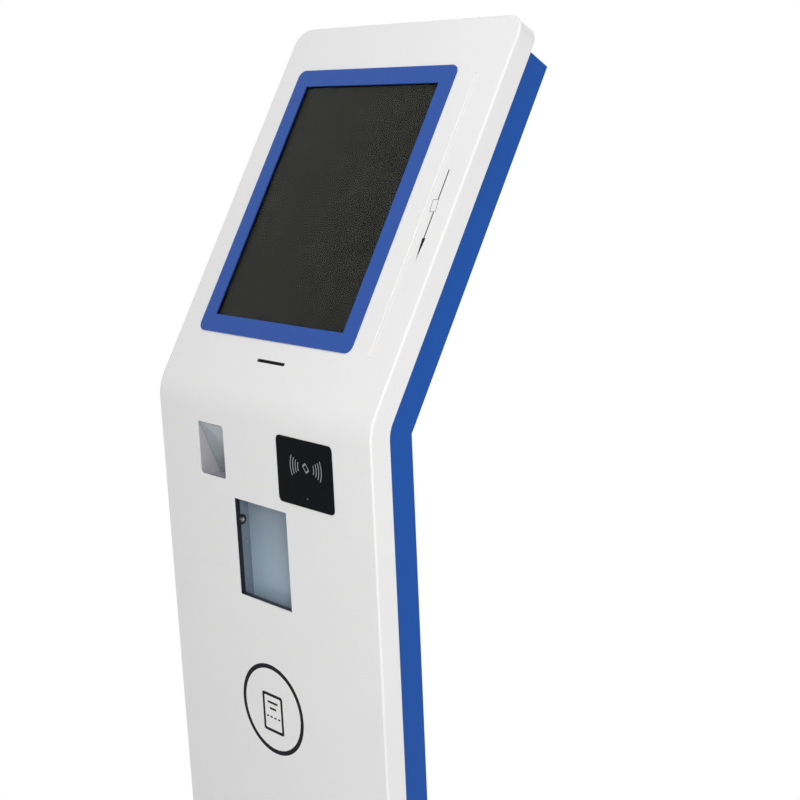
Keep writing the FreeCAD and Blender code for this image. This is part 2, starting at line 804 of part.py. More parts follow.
def make_lock():
    """Cam lock of the door: body, nut, and the turning plug with its cam."""
    inside = "(cabinet_depth - cabinet_sheet)"
    barrel = rod("lock_barrel", "LowerFrame", (LOCK_X, f"{inside} - lock_barrel", "door_middle"),
                 "lock_radius", "lock_barrel + cabinet_sheet", "y")
    flange = rod("lock_flange", "LowerFrame", (LOCK_X, "cabinet_depth", "door_middle"),
                 "lock_radius + lock_rim", "lock_flange", "y")
    bore = rod("plug_bore", "LowerFrame", (LOCK_X, f"{inside} - lock_barrel - tool_spare", "door_middle"),
               "plug_radius + running_gap", "lock_barrel + cabinet_sheet + lock_flange + 2 * tool_spare", "y")
    finish(cut("lock_body", join("lock_blank", barrel, flange), bore), "lock_body")
    nut = hexagon("nut_blank", "LowerFrame", (LOCK_X, f"{inside} - nut_height", "door_middle"),
                  "lock_radius + nut_rim", "nut_height", "y")
    nut_bore = rod("nut_bore", "LowerFrame", (LOCK_X, f"{inside} - nut_height - tool_spare", "door_middle"),
                   "lock_radius + hole_gap", "nut_height + 2 * tool_spare", "y")
    finish(cut("lock_nut", nut, nut_bore), "lock_nut")
    face = "(cabinet_depth + lock_flange - plug_sink)"
    plug = rod("plug_bar", "LowerFrame", (LOCK_X, f"{inside} - plug_reach", "door_middle"), "plug_radius",
               f"{face} - {inside} + plug_reach", "y")
    keyway = box("keyway", "LowerFrame",
                 (f"{LOCK_X} - keyway_width / 2", f"{face} - keyway_depth",
                  "door_middle - keyway_length / 2"),
                 ("keyway_width", "keyway_depth + tool_spare", "keyway_length"))
    finish(cut("lock_plug", plug, keyway), "lock_plug")
    back = f"({inside} - plug_reach - cam_sheet)"
    eye = rod("cam_eye", "LowerFrame", (LOCK_X, back, "door_middle"), "plug_radius + cam_rim",
              "cam_sheet", "y")
    bar = box("cam_bar", "LowerFrame", (f"{LOCK_X} - plug_radius", back, "door_middle - cam_length"),
              ("2 * plug_radius", "cam_sheet", "cam_length"))
    finish(join("cam_blank", eye, bar), "lock_cam")


def make_base():
    """Steel base plate on four rubber pads, with floor anchor holes and angles to the cabinet."""
    blank = plate("base_blank", "FloorFrame", ("0", "0", "pad_height"),
                  ("base_width", "base_sheet", "base_length"), "base_corner", "-y")
    holes, pads = [], []
    for side in ("-1", "1"):
        for end in ("-1", "1"):
            along = f"{end} * (base_length / 2 - anchor_inset)"
            holes.append(rod(f"anchor_{tag_of(side, end)}", "FloorFrame",
                             (f"{side} * (base_width / 2 - anchor_inset)", along, "0"),
                             "anchor_radius", "pad_height + base_sheet + tool_spare", "z"))
            pads.append(rod(f"base_pad_{tag_of(side, end)}", "FloorFrame",
                            (f"{side} * (base_width / 2 - pad_inset)", along, "0"),
                            "pad_radius", "pad_height", "z"))
    floor = "(pad_height + base_sheet)"
    wall = "(shell_width / 2 - cabinet_inset - cabinet_sheet)"
    foot_y = "(-knee_front + (foot_drop * sin(lower_lean) + shell_depth) / cos(lower_lean) + angle_gap)"
    angles, bolts = [], []
    for side in ("-1", "1"):
        tag = tag_of(side)
        flat = box(f"angle_flat_{tag}", "FloorFrame",
                   (f"{side} * {wall} - (1 + {side}) / 2 * angle_leg", foot_y, floor),
                   ("angle_leg", "angle_length", "angle_sheet"))
        stand = box(f"angle_stand_{tag}", "FloorFrame",
                    (f"{side} * {wall} - (1 + {side}) / 2 * angle_sheet", foot_y, floor),
                    ("angle_sheet", "angle_length", "angle_height"))
        across = f"{side} * ({wall} - angle_leg * 0.6)"
        drilled = []
        for place_y in (f"{foot_y} + angle_length / 4", f"{foot_y} + angle_length * 3 / 4"):
            bolt = tag_of(side, len(drilled))
            drilled.append(rod(f"angle_hole_{bolt}", "FloorFrame", (across, place_y, "0"),
                               "bolt_radius + hole_gap", "angle_height", "z"))
            shank = rod(f"bolt_shank_{bolt}", "FloorFrame", (across, place_y, "pad_height"),
                        "bolt_radius", "base_sheet + angle_sheet + bolt_head_height / 2", "z")
            head = hexagon(f"bolt_head_{bolt}", "FloorFrame", (across, place_y, f"{floor} + angle_sheet"),
                           "bolt_head_radius", "bolt_head_height", "z")
            bolts.append(join(f"base_bolt_{bolt}", shank, head))
        holes.extend(drilled)
        angles.append(cut(f"base_angle_{tag}", join(f"angle_blank_{tag}", flat, stand), *drilled))
    finish(cut("base_plate", blank, *holes), "base_plate")
    finish(group("base_pads", *pads), "base_pads")
    finish(group("base_angles", *angles), "base_angles")
    finish(group("base_bolts", *bolts), "base_bolts")


GLASS_WIDTH = "(view_width + 2 * glass_border)"
GLASS_HEIGHT = "(view_height + 2 * glass_border)"
TRAY_WIDTH = f"({GLASS_WIDTH} + 2 * tray_border)"
TRAY_HEIGHT = f"({GLASS_HEIGHT} + 2 * tray_border)"
PANEL_FRONT = "(gasket_sheet + glass_sheet + seat_gap)"
TRAY_BACK = f"({PANEL_FRONT} + panel_depth + seat_gap)"


def make_screen():
    """Portrait touch screen: blue frame, foam gasket, glass, display panel and steel tray."""
    view = plate("bezel_view", "HeadFrame", ("screen_x", "-2 * bezel_sheet", "screen_height"),
                 ("view_width", "4 * bezel_sheet", "view_height"))
    blank = plate("bezel_blank", "HeadFrame", ("screen_x", "-bezel_sheet", "screen_height"),
                  ("view_width + 2 * bezel_border", "bezel_sheet", "view_height + 2 * bezel_border"),
                  "bezel_corner")
    finish(cut("screen_bezel", blank, view), "screen_bezel")
    foam = plate("gasket_blank", "HeadFrame", ("screen_x", "0", "screen_height"),
                 ("view_width + 2 * gasket_border", "gasket_sheet", "view_height + 2 * gasket_border"))
    hole = plate("gasket_view", "HeadFrame", ("screen_x", "-gasket_sheet", "screen_height"),
                 ("view_width + 2 * gasket_setback", "3 * gasket_sheet", "view_height + 2 * gasket_setback"))
    finish(cut("screen_gasket", foam, hole), "screen_gasket")
    finish(plate("touch_glass", "HeadFrame", ("screen_x", "gasket_sheet", "screen_height"),
                 (GLASS_WIDTH, "glass_sheet", GLASS_HEIGHT), "glass_corner"), "touch_glass")
    finish(plate("display_panel", "HeadFrame", ("screen_x", PANEL_FRONT, "screen_height"),
                 ("panel_width", "panel_depth", "panel_height")), "display_panel")
    pan = plate("tray_blank", "HeadFrame", ("screen_x", "shell_sheet", "screen_height"),
                (TRAY_WIDTH, f"{TRAY_BACK} + tray_sheet - shell_sheet", TRAY_HEIGHT), "tray_corner")
    space = plate("tray_space", "HeadFrame", ("screen_x", "0", "screen_height"),
                  (f"{TRAY_WIDTH} - 2 * tray_sheet", TRAY_BACK, f"{TRAY_HEIGHT} - 2 * tray_sheet"),
                  "tray_corner - tray_sheet")
    finish(cut("monitor_tray", pan, space), "monitor_tray")


# The larger parts on the driver board: place as a share of the board, then width, height and depth.
BOARD_CHIPS = (("-0.3", "0.25", "28", "18", "9"), ("0.2", "0.2", "22", "22", "3"),
               ("0.05", "-0.25", "60", "14", "12"))


def make_monitor_fixings():
    """Four angle brackets that hold the tray to the shell, and the screen's driver board."""
    brackets, nuts, posts = [], [], []
    back = f"({TRAY_BACK} + tray_sheet)"
    for side in ("-1", "1"):
        edge = f"(screen_x + {side} * {TRAY_WIDTH} / 2)"
        for row in ("-1", "1"):
            tag = tag_of(side, row)
            up = f"(screen_height + {row} * view_height / 3)"
            below = f"{up} - bracket_width / 2"
            foot = box(f"bracket_foot_{tag}", "HeadFrame",
                       (f"({edge} - (1 - {side}) / 2 * bracket_foot)", "shell_sheet", below),
                       ("bracket_foot", "tray_sheet", "bracket_width"))
            wall = box(f"bracket_wall_{tag}", "HeadFrame",
                       (f"({edge} - (1 - {side}) / 2 * tray_sheet)", "shell_sheet", below),
                       ("tray_sheet", "panel_depth", "bracket_width"))
            centre = f"({edge} + {side} * bracket_foot * 0.6)"
            hole = rod(f"bracket_hole_{tag}", "HeadFrame", (centre, "0", up), "screw_radius + hole_gap",
                       "stud_length", "y")
            brackets.append(cut(f"monitor_bracket_{tag}", join(f"bracket_blank_{tag}", foot, wall), hole))
            stud = rod(f"stud_{tag}", "HeadFrame", (centre, "shell_sheet", up), "screw_radius",
                       "stud_length", "y")
            nut = hexagon(f"stud_nut_{tag}", "HeadFrame", (centre, "shell_sheet + tray_sheet", up),
                          "screw_head_radius", "screw_head_height", "y")
            nuts.append(join(f"monitor_nut_{tag}", stud, nut))
            posts.append(rod(f"board_post_{tag}", "HeadFrame",
                             (f"screen_x + {side} * (board_width / 2 - board_inset)", back,
                              f"screen_height + {row} * (board_height / 2 - board_inset)"),
                             "board_post_radius", "board_post", "y"))
    finish(group("monitor_brackets", *brackets), "monitor_brackets")
    finish(group("monitor_nuts", *nuts), "monitor_nuts")
    parts = [plate("board_sheet", "HeadFrame", ("screen_x", f"{back} + board_post", "screen_height"),
                   ("board_width", "board_sheet", "board_height"))]
    for index, (across, up, wide, high, deep) in enumerate(BOARD_CHIPS):
        parts.append(plate(f"board_chip_{index}", "HeadFrame",
                           (f"screen_x + ({across}) * board_width", f"{back} + board_post + board_sheet",
                            f"screen_height + ({up}) * board_height"), (wide, deep, high)))
    finish(join("monitor_board", *parts, *posts), "monitor_board")


def make_card_reader():
    """Chip card reader behind the narrow slot below the screen, on an angle of its own."""
    nose = plate("reader_nose", "HeadFrame", ("card_x", "card_nose_sink", "card_height"),
                 ("slot_width - 2 * hole_gap", "shell_sheet", "slot_gap - 2 * hole_gap"), "slot_gap / 3")
    case = plate("card_case", "HeadFrame", ("card_x", "shell_sheet", "card_height"),
                 ("card_reader_width", "card_reader_depth", "card_reader_height"), "card_corner")
    slit = plate("card_slit", "HeadFrame", ("card_x", "-tool_spare", "card_height"),
                 ("slot_width - 2 * card_lip", "card_reader_depth * 0.8", "card_gap"))
    finish(cut("card_reader", join("card_reader_blank", nose, case), slit), "card_reader")


def make_swipe_slot():
    """White strip let into the shell, with a shallow groove, and the magnetic reader beside it."""
    blank = plate("swipe_blank", "HeadFrame", ("swipe_x", "-swipe_proud", "swipe_height"),
                  ("swipe_width - 2 * hole_gap", "swipe_depth + swipe_proud", "swipe_length - 2 * hole_gap"))
    flange = plate("swipe_flange", "HeadFrame", ("swipe_x", "shell_sheet", "swipe_height"),
                   ("swipe_width + 2 * swipe_rim", "swipe_flange", "swipe_length + 2 * swipe_rim"))
    groove = plate("swipe_groove_cut", "HeadFrame", ("swipe_x", "-swipe_proud - tool_spare", "swipe_height"),
                   ("swipe_groove", "groove_depth + tool_spare", "swipe_length - 2 * groove_end"))
    finish(cut("swipe_channel", join("swipe_channel_blank", blank, flange), groove), "swipe_channel")
    beside = "swipe_x + swipe_width / 2 - hole_gap + head_case_width / 2"
    finish(plate("swipe_reader", "HeadFrame", (beside, "shell_sheet + swipe_flange", "swipe_height"),
                 ("head_case_width", "swipe_depth", "head_case_height"), "head_case_corner"), "swipe_reader")


def make_identity_reader():
    """Black acrylic window flush in the shell and the contactless reader that carries it."""
    finish(plate("reader_window", "LowerFrame", ("reader_x", "-reader_proud", "-reader_drop"),
                 ("reader_width", "reader_sheet", "reader_height"), "reader_corner"), "reader_window")
    finish(plate("reader_module", "LowerFrame", ("reader_x", "shell_sheet", "-reader_drop"),
                 ("reader_width + 2 * module_border", "module_depth", "reader_height + 2 * module_border"),
                 "module_corner"), "reader_module")


def make_scanner():
    """Wedge-shaped scanner niche: grey cheeks and floor, sloping glass pane and the code reader."""
    top = "(-niche_drop)"
    bottom = "(-niche_drop - niche_height - niche_floor)"
    front = "shell_sheet"
    rise = "(pane_sheet + niche_sheet)"
    left = "niche_x - niche_width / 2 - niche_sheet"
    cheek = [(front, f"{top} + niche_sheet"), (front, f"{bottom} - niche_sheet"),
             (f"{front} + niche_depth + {rise}", f"{bottom} - niche_sheet"),
             (f"{front} + niche_depth + {rise}", f"{bottom} + pane_sheet"),
             (f"{front} + {rise}", f"{top} + niche_sheet")]
    parts = [box("niche_floor_sheet", "LowerFrame",
                 (left, f"{front} + niche_slot", f"{bottom} - niche_sheet"),
                 ("niche_width + 2 * niche_sheet", f"niche_depth + {rise} - niche_slot", "niche_sheet")),
             box("niche_top_sheet", "LowerFrame", (left, front, top),
                 ("niche_width + 2 * niche_sheet", rise, "niche_sheet"))]
    for side in ("-1", "1"):
        centre = f"niche_x + {side} * (niche_width + niche_sheet) / 2"
        parts.append(prism(f"niche_cheek_{tag_of(side)}", "LowerFrame", centre, cheek, "niche_sheet"))
    finish(join("scanner_niche", *parts), "scanner_niche")
    slant = f"((niche_height + niche_floor - hole_gap) / cos({SLOPE_ANGLE}) - hole_gap)"
    pane = doc.addObject("Part::Box", "scanner_pane")
    bind(pane, Length="niche_width - 2 * hole_gap", Width="pane_sheet", Height=f"{slant} - pane_sheet * 0.6")
    place(pane, "LowerFrame",
          ("niche_x - niche_width / 2 + hole_gap", f"{front} + hole_gap + {slant} * sin({SLOPE_ANGLE})",
           f"{top} - {slant} * cos({SLOPE_ANGLE})"), "slope")
    finish(pane, "scanner_pane")
    engine = doc.addObject("Part::Box", "scanner_engine")
    wide = "(niche_width * 0.75)"
    bind(engine, Length=wide, Width="engine_depth", Height="engine_length")
    down = f"({slant} * 0.5 + engine_length / 2)"
    off = "(pane_sheet + hole_gap * 2)"
    place(engine, "LowerFrame",
          (f"niche_x - {wide} / 2", f"{front} + {off} * cos({SLOPE_ANGLE}) + {down} * sin({SLOPE_ANGLE})",
           f"{top} + {off} * sin({SLOPE_ANGLE}) - {down} * cos({SLOPE_ANGLE})"), "slope")
    finish(engine, "scanner_engine")


PATH_DEPTH = "(platen_depth + platen_radius + seat_gap)"
PORT_MIDDLE = "(-port_drop - port_height / 2)"
HOUSING_FRONT = "(shell_sheet + collar_depth)"
HOUSING_TOP = "(-port_drop + housing_head)"
HOUSING_FOOT = "(-port_drop - port_height - housing_trough)"
FLAP_AXIS_DROP = "(-port_drop + housing_head - flap_barrel_radius - flap_gap)"
FLAP_AXIS = ("port_x - port_width / 2 - housing_sheet", "flap_depth + flap_sheet / 2", FLAP_AXIS_DROP)


def make_port():
    """Ticket port: black collar with two tabs, and the steel housing with its chute and wall screws."""
    ring = plate("collar_blank", "LowerFrame", ("port_x", "shell_sheet", PORT_MIDDLE),
                 ("port_width + 2 * collar_border", "collar_depth", "port_height + 2 * collar_border"),
                 "collar_corner")
    hole = plate("collar_opening", "LowerFrame", ("port_x", "0", PORT_MIDDLE),
                 ("port_width", "collar_depth * 3", "port_height"))
    collar = cut("collar_ring", ring, hole)
    middle = f"(({HOUSING_TOP} + {HOUSING_FOOT}) / 2)"
    tall = f"({HOUSING_TOP} - {HOUSING_FOOT})"
    shell = plate("housing_blank", "LowerFrame", ("port_x", HOUSING_FRONT, middle),
                  ("port_width + 2 * housing_sheet", f"housing_back - {HOUSING_FRONT}",
                   f"{tall} + 2 * housing_sheet"))
    tools = [plate("housing_space", "LowerFrame", ("port_x", f"{HOUSING_FRONT} + housing_sheet", middle),
                   ("port_width", f"housing_back - {HOUSING_FRONT} - 2 * housing_sheet", tall)),
             plate("housing_mouth", "LowerFrame", ("port_x", "shell_sheet", PORT_MIDDLE),
                   ("port_width", "collar_depth * 3", "port_height")),
             rod("flap_pin_hole", "LowerFrame", (f"{FLAP_AXIS[0]} - tool_spare", *FLAP_AXIS[1:]),
                 "flap_pin_radius + running_gap", "port_width + 2 * housing_sheet + 2 * tool_spare", "x")]
    screws, tabs, tab_holes = [], [], []
    for side, inward, outward in (("-1", "x", "-x"), ("1", "-x", "x")):
        tag = tag_of(side)
        place_on_wall = ("wall_screw_depth", "(-port_drop - wall_screw_drop)")
        wall = (f"(port_x + {side} * port_width / 2)", *place_on_wall)
        seat = (f"(port_x + {side} * (port_width / 2 - collar_tab_sheet))", *place_on_wall)
        tabs.append(rod(f"collar_tab_{tag}", "LowerFrame", wall, "collar_tab_radius", "collar_tab_sheet",
                        inward))
        tab_holes.append(rod(f"collar_tab_hole_{tag}", "LowerFrame", seat, "screw_radius + hole_gap",
                             "wall_screw_length", outward))
        tools.append(rod(f"wall_screw_hole_{tag}", "LowerFrame", seat, "screw_radius + hole_gap",
                         "wall_screw_length + tool_spare", outward))
        screws.append(pan_screw(f"wall_screw_{tag}", "LowerFrame", seat, inward, "screw_radius",
                                "wall_screw_length", "wall_screw_radius", "wall_screw_head"))
    chute_top = "(-cutter_drop - cutter_height)"
    chute = box("chute_blank", "LowerFrame",
                ("port_x - paper_width / 2 - 2 * chute_wall", f"{PATH_DEPTH} - chute_front - chute_wall",
                 f"{HOUSING_TOP} + housing_sheet / 2"),
                ("paper_width + 4 * chute_wall", "chute_depth + 2 * chute_wall",
                 f"{chute_top} - {HOUSING_TOP} - housing_sheet / 2"))
    tools.append(box("chute_bore", "LowerFrame",
                     ("port_x - paper_width / 2 - chute_wall", f"{PATH_DEPTH} - chute_front",
                      f"{HOUSING_TOP} - tool_spare"),
                     ("paper_width + 2 * chute_wall", "chute_depth",
                      f"{chute_top} - {HOUSING_TOP} + 2 * tool_spare")))
    finish(cut("port_housing", join("housing_with_chute", shell, chute), *tools), "port_housing")
    finish(cut("port_collar", join("collar_with_tabs", collar, *tabs), *tab_holes), "port_collar")
    finish(group("port_screws", *screws), "port_screws")


def make_port_flap():
    """The flap that closes the ticket port and swings inward on its pin."""
    long = "(port_width - 2 * flap_gap)"
    start = f"(port_x - {long} / 2)"
    reach = f"({FLAP_AXIS_DROP} - {HOUSING_FOOT} - 2 * flap_gap)"
    panel = box("flap_panel", "LowerFrame", (start, "flap_depth", f"{FLAP_AXIS_DROP} - {reach}"),
                (long, "flap_sheet", reach))
    axis = FLAP_AXIS[1:]
    barrel = rod("flap_barrel", "LowerFrame", (start, *axis), "flap_barrel_radius", long, "x")
    bore = rod("flap_bore", "LowerFrame", (f"{start} - tool_spare", *axis),
               "flap_pin_radius + running_gap", f"{long} + 2 * tool_spare", "x")
    finish(cut("port_flap", join("flap_blank", panel, barrel), bore), "port_flap")
    finish(rod("flap_pin", "LowerFrame", FLAP_AXIS, "flap_pin_radius", "port_width + 2 * housing_sheet", "x"),
           "flap_pin")


PRINTER_LEFT = "(port_x - printer_width / 2)"
PRINTER_RIGHT = "(port_x + printer_width / 2)"
GEAR_X = f"({PRINTER_RIGHT} + gear_gap)"
MOTOR_SHIFT = "(gear_module * (platen_teeth + motor_teeth) / 2)"
MOTOR_DEPTH = f"(platen_depth + {MOTOR_SHIFT} * 0.6)"
MOTOR_DROP = f"(platen_drop - {MOTOR_SHIFT} * 0.8)"


def make_printer_frame():
    """Steel channel of the thermal printer on four studs, with cheeks that carry the roll above it."""
    deep = "(printer_back - printer_front)"
    tall = "(printer_bottom - printer_top)"
    parts = [box("frame_web", "LowerFrame", (PRINTER_LEFT, "printer_front", "-printer_bottom"),
                 ("printer_width", "printer_sheet", tall))]
    for tag, left in (("left", PRINTER_LEFT), ("right", f"{PRINTER_RIGHT} - printer_sheet")):
        parts.append(box(f"frame_{tag}", "LowerFrame", (left, "printer_front", "-printer_bottom"),
                         ("printer_sheet", deep, tall)))
        parts.append(box(f"cheek_wall_{tag}", "LowerFrame",
                         (left, "roll_depth - cheek_radius", "-printer_top - printer_sheet"),
                         ("printer_sheet", "2 * cheek_radius", "printer_top + printer_sheet - roll_drop")))
        parts.append(rod(f"cheek_eye_{tag}", "LowerFrame", (left, "roll_depth", "-roll_drop"),
                         "cheek_radius", "printer_sheet", "x"))
    for side in ("-1", "1"):
        for row in ("0.2", "0.8"):
            parts.append(rod(f"frame_stud_{tag_of(side, row)}", "LowerFrame",
                             (f"port_x + {side} * printer_width / 3", "shell_sheet",
                              f"-printer_top - {row} * {tall}"),
                             "frame_stud_radius", "printer_front - shell_sheet + printer_sheet / 2", "y"))
    start = f"{PRINTER_LEFT} - tool_spare"
    across = "printer_width + 2 * tool_spare"
    tools = [
        rod("platen_bearing", "LowerFrame", (start, "platen_depth", "-platen_drop"),
            "platen_shaft_radius + running_gap", across, "x"),
        rod("lid_bearing", "LowerFrame", (start, "lid_axis_depth", "-lid_axis_drop"),
            "lid_pin_radius + running_gap", across, "x"),
        rod("spindle_seat", "LowerFrame", (start, "roll_depth", "-roll_drop"),
            "spindle_radius + hole_gap", across, "x"),
        rod("motor_window", "LowerFrame",
            (f"{PRINTER_RIGHT} - printer_sheet - tool_spare", MOTOR_DEPTH, f"-{MOTOR_DROP}"),
            "pilot_radius", "printer_sheet + 2 * tool_spare", "x"),
    ]
    finish(cut("printer_frame", join("printer_frame_blank", *parts), *tools), "printer_frame")


# A tooth's outline: how far each corner lies from the tooth's middle, as a share of the tooth step,
# and from the pitch circle, in modules.
TOOTH = ((-0.34, -1.15), (-0.24, -0.1), (-0.12, 0.8), (0.12, 0.8), (0.24, -0.1), (0.34, -1.15))


def spur_gear(name, teeth, depth, drop, bore, phase=0.0):
    """A spur gear with straight-sided teeth about an axis along x; tooth 0 points down at phase 0."""
    count = int(number(teeth))
    module = number("gear_module")
    step = 2 * math.pi / count
    points = []
    for tooth in range(count):
        for share, level in TOOTH:
            turn = (tooth + share) * step + phase
            reach = module * (count / 2 + level)
            points.append(FreeCAD.Vector(reach * math.cos(turn), reach * math.sin(turn), 0))
    wire = Part.makePolygon(points + [points[0]])
    width = number("gear_width")
    spare = number("tool_spare")
    solid = Part.Face(wire).extrude(FreeCAD.Vector(0, 0, width))
    hole = Part.makeCylinder(number(bore), width + 2 * spare, FreeCAD.Vector(0, 0, -spare))
    item = doc.addObject("Part::Feature", name)
    item.Shape = solid.cut(hole)
    place(item, "LowerFrame", (GEAR_X, depth, f"-({drop})"), "x")
    return item


def pinion_phase():
    """Turn of the pinion that puts the middle of a gap where the platen gear has a tooth."""
    wheel, small = number("platen_teeth"), number("motor_teeth")
    across = number(MOTOR_DEPTH) - number("platen_depth")
    up = number("platen_drop") - number(MOTOR_DROP)
    towards = math.atan2(across, -up)
    tooth = 2 * math.pi / wheel
    offset = round(towards / tooth) * tooth - towards
    return towards + math.pi - offset * wheel / small - math.pi / small


DRIVE_WALL_X = f"({GEAR_X} + gear_width + shaft_end)"


def make_platen():
    """Rubber platen on its steel shaft, with the large gear outside the printer's right cheek."""
    start = "(port_x - platen_length / 2)"
    rubber = rod("platen_rubber", "LowerFrame", (start, "platen_depth", "-platen_drop"), "platen_radius",
                 "platen_length", "x")
    bore = rod("platen_core", "LowerFrame", (f"{start} - tool_spare", "platen_depth", "-platen_drop"),
               "platen_shaft_radius", "platen_length + 2 * tool_spare", "x")
    finish(cut("platen_roller", rubber, bore), "platen_roller")
    finish(rod("platen_shaft", "LowerFrame", (f"{PRINTER_LEFT} - shaft_end", "platen_depth", "-platen_drop"),
               "platen_shaft_radius", "printer_width + gear_gap + gear_width + 2 * shaft_end", "x"),
           "platen_shaft")
    finish(spur_gear("platen_gear", "platen_teeth", "platen_depth", "platen_drop", "platen_shaft_radius"),
           "platen_gear")


def make_print_motor():
    """Small motor on a wall held off the printer by three posts, with its pinion in the platen gear."""
    near_front = "(printer_front + drive_wall_front)"
    wall = box("drive_wall", "LowerFrame", (DRIVE_WALL_X, near_front, "-platen_drop - drive_wall_foot"),
               ("drive_wall_sheet", "drive_wall_depth", "drive_wall_height"))
    first = f"({near_front} + drive_post_inset)"
    last = f"({near_front} + drive_wall_depth - drive_post_inset)"
    low = "(platen_drop + drive_wall_foot - drive_post_inset)"
    high = f"({low} - drive_wall_height + 2 * drive_post_inset)"
    parts = [wall]
    for index, (depth, drop) in enumerate(((first, low), (first, high), (last, low))):
        parts.append(rod(f"drive_post_{index}", "LowerFrame", (PRINTER_RIGHT, depth, f"-{drop}"),
                         "drive_post_radius", f"{DRIVE_WALL_X} - {PRINTER_RIGHT} + drive_wall_sheet / 2",
                         "x"))
    before = f"{DRIVE_WALL_X} - tool_spare"
    through = "drive_wall_sheet + 2 * tool_spare"
    relief = rod("shaft_relief", "LowerFrame", (before, "platen_depth", "-platen_drop"),
                 "platen_shaft_radius + relief_gap", through, "x")
    pilot = rod("motor_pilot", "LowerFrame", (before, MOTOR_DEPTH, f"-{MOTOR_DROP}"), "pilot_radius",
                through, "x")
    finish(cut("drive_bracket", join("drive_blank", *parts), relief, pilot), "drive_bracket")
    face = f"({DRIVE_WALL_X} + drive_wall_sheet)"
    can = rod("motor_can", "LowerFrame", (face, MOTOR_DEPTH, f"-{MOTOR_DROP}"), "motor_radius",
              "motor_length", "x")
    well = rod("motor_well", "LowerFrame", (f"{face} - tool_spare", MOTOR_DEPTH, f"-{MOTOR_DROP}"),
               "motor_shaft_radius + running_gap", "motor_length / 2", "x")
    finish(cut("print_motor", can, well), "print_motor")
    pinion = spur_gear("pinion_teeth", "motor_teeth", MOTOR_DEPTH, MOTOR_DROP, "motor_shaft_radius",
                       pinion_phase())
    shaft = rod("motor_shaft", "LowerFrame", (GEAR_X, MOTOR_DEPTH, f"-{MOTOR_DROP}"), "motor_shaft_radius",
                f"{face} - {GEAR_X} + motor_length / 4", "x")
    finish(join("motor_pinion", pinion, shaft), "motor_pinion")


def make_printer_head():
    """Hinged lid at the back of the printer, which presses the thermal head on the platen."""
    long = "(paper_width + 2 * lid_side)"
    start = f"(port_x - {long} / 2)"
    face = "(lid_axis_depth - lid_arm - lid_sheet)"
    panel = box("lid_panel", "LowerFrame", (start, face, "-lid_axis_drop"),
                (long, "lid_sheet", "lid_axis_drop - printer_top - lid_arm"))
    web = box("lid_web", "LowerFrame", (start, face, "-lid_axis_drop - lid_sheet / 4"),
              (long, f"lid_axis_depth - {face}", "lid_sheet"))
    barrel = rod("lid_barrel", "LowerFrame", (start, "lid_axis_depth", "-lid_axis_drop"),
                 "lid_pin_radius + lid_barrel_wall", long, "x")
    pins = rod("lid_pins", "LowerFrame", (f"{PRINTER_LEFT} + hole_gap", "lid_axis_depth", "-lid_axis_drop"),
               "lid_pin_radius", "printer_width - 2 * hole_gap", "x")
    finish(join("head_lid", panel, web, barrel, pins), "head_lid")
    front = f"({PATH_DEPTH} + hole_gap)"
    finish(box("print_head", "LowerFrame",
               ("port_x - platen_length / 2", front, "-platen_drop - head_block_height / 2"),
               ("platen_length", f"{face} - {front}", "head_block_height")), "print_head")


def make_cutter():
    """Guillotine under the platen: a guide with the ticket path, and the blade that slides across it."""
    inner = "(printer_width - 2 * printer_sheet)"
    front = "(printer_front + printer_sheet)"
    foot = "(-cutter_drop - cutter_height)"
    level = "(-cutter_drop - cutter_height / 2)"
    block = box("cutter_blank", "LowerFrame", (f"port_x - {inner} / 2", front, foot),
                (inner, f"printer_back - cutter_setback - {front}", "cutter_height"))
    path = box("ticket_path", "LowerFrame",
               ("port_x - paper_width / 2 - ticket_side", f"{PATH_DEPTH} - ticket_gap",
                f"{foot} - tool_spare"),
               ("paper_width + 2 * ticket_side", "2 * ticket_gap", "cutter_height + 2 * tool_spare"))
    slot = box("blade_slot", "LowerFrame",
               ("port_x - platen_length / 2 - seat_gap", f"{PATH_DEPTH} - blade_slot_front",
                f"{level} - seat_gap"),
               ("platen_length + 2 * seat_gap", "printer_back", "blade_sheet + 2 * seat_gap"))
    finish(cut("cutter_body", block, path, slot), "cutter_body")
    finish(box("cutter_blade", "LowerFrame",
               ("port_x - platen_length / 2", f"{PATH_DEPTH} + blade_retreat", level),
               ("platen_length", "blade_length", "blade_sheet")), "cutter_blade")


def make_paper():
    """Ticket roll at the knee: a removable spindle, the cardboard core and the paper."""
    axis = ("roll_depth", "-roll_drop")
    finish(rod("roll_spindle", "LowerFrame", (PRINTER_LEFT, *axis), "spindle_radius", "printer_width", "x"),
           "roll_spindle")
    start = "(port_x - paper_width / 2)"
    before = f"{start} - tool_spare"
    through = "paper_width + 2 * tool_spare"
    core = rod("core_blank", "LowerFrame", (start, *axis), "core_radius", "paper_width", "x")
    core_bore = rod("core_bore", "LowerFrame", (before, *axis), "spindle_radius + hole_gap", through, "x")
    finish(cut("paper_core", core, core_bore), "paper_core")
    roll = rod("roll_blank", "LowerFrame", (start, *axis), "roll_radius", "paper_width", "x")
    roll_bore = rod("roll_bore", "LowerFrame", (before, *axis), "core_radius", through, "x")
    finish(cut("paper_roll", roll, roll_bore), "paper_roll")


PLATE_FRONT = "(shell_sheet + standoff_height)"
PLATE_BACK = f"({PLATE_FRONT} + cabinet_sheet)"
PLATE_TOP = "(-gear_plate_drop)"


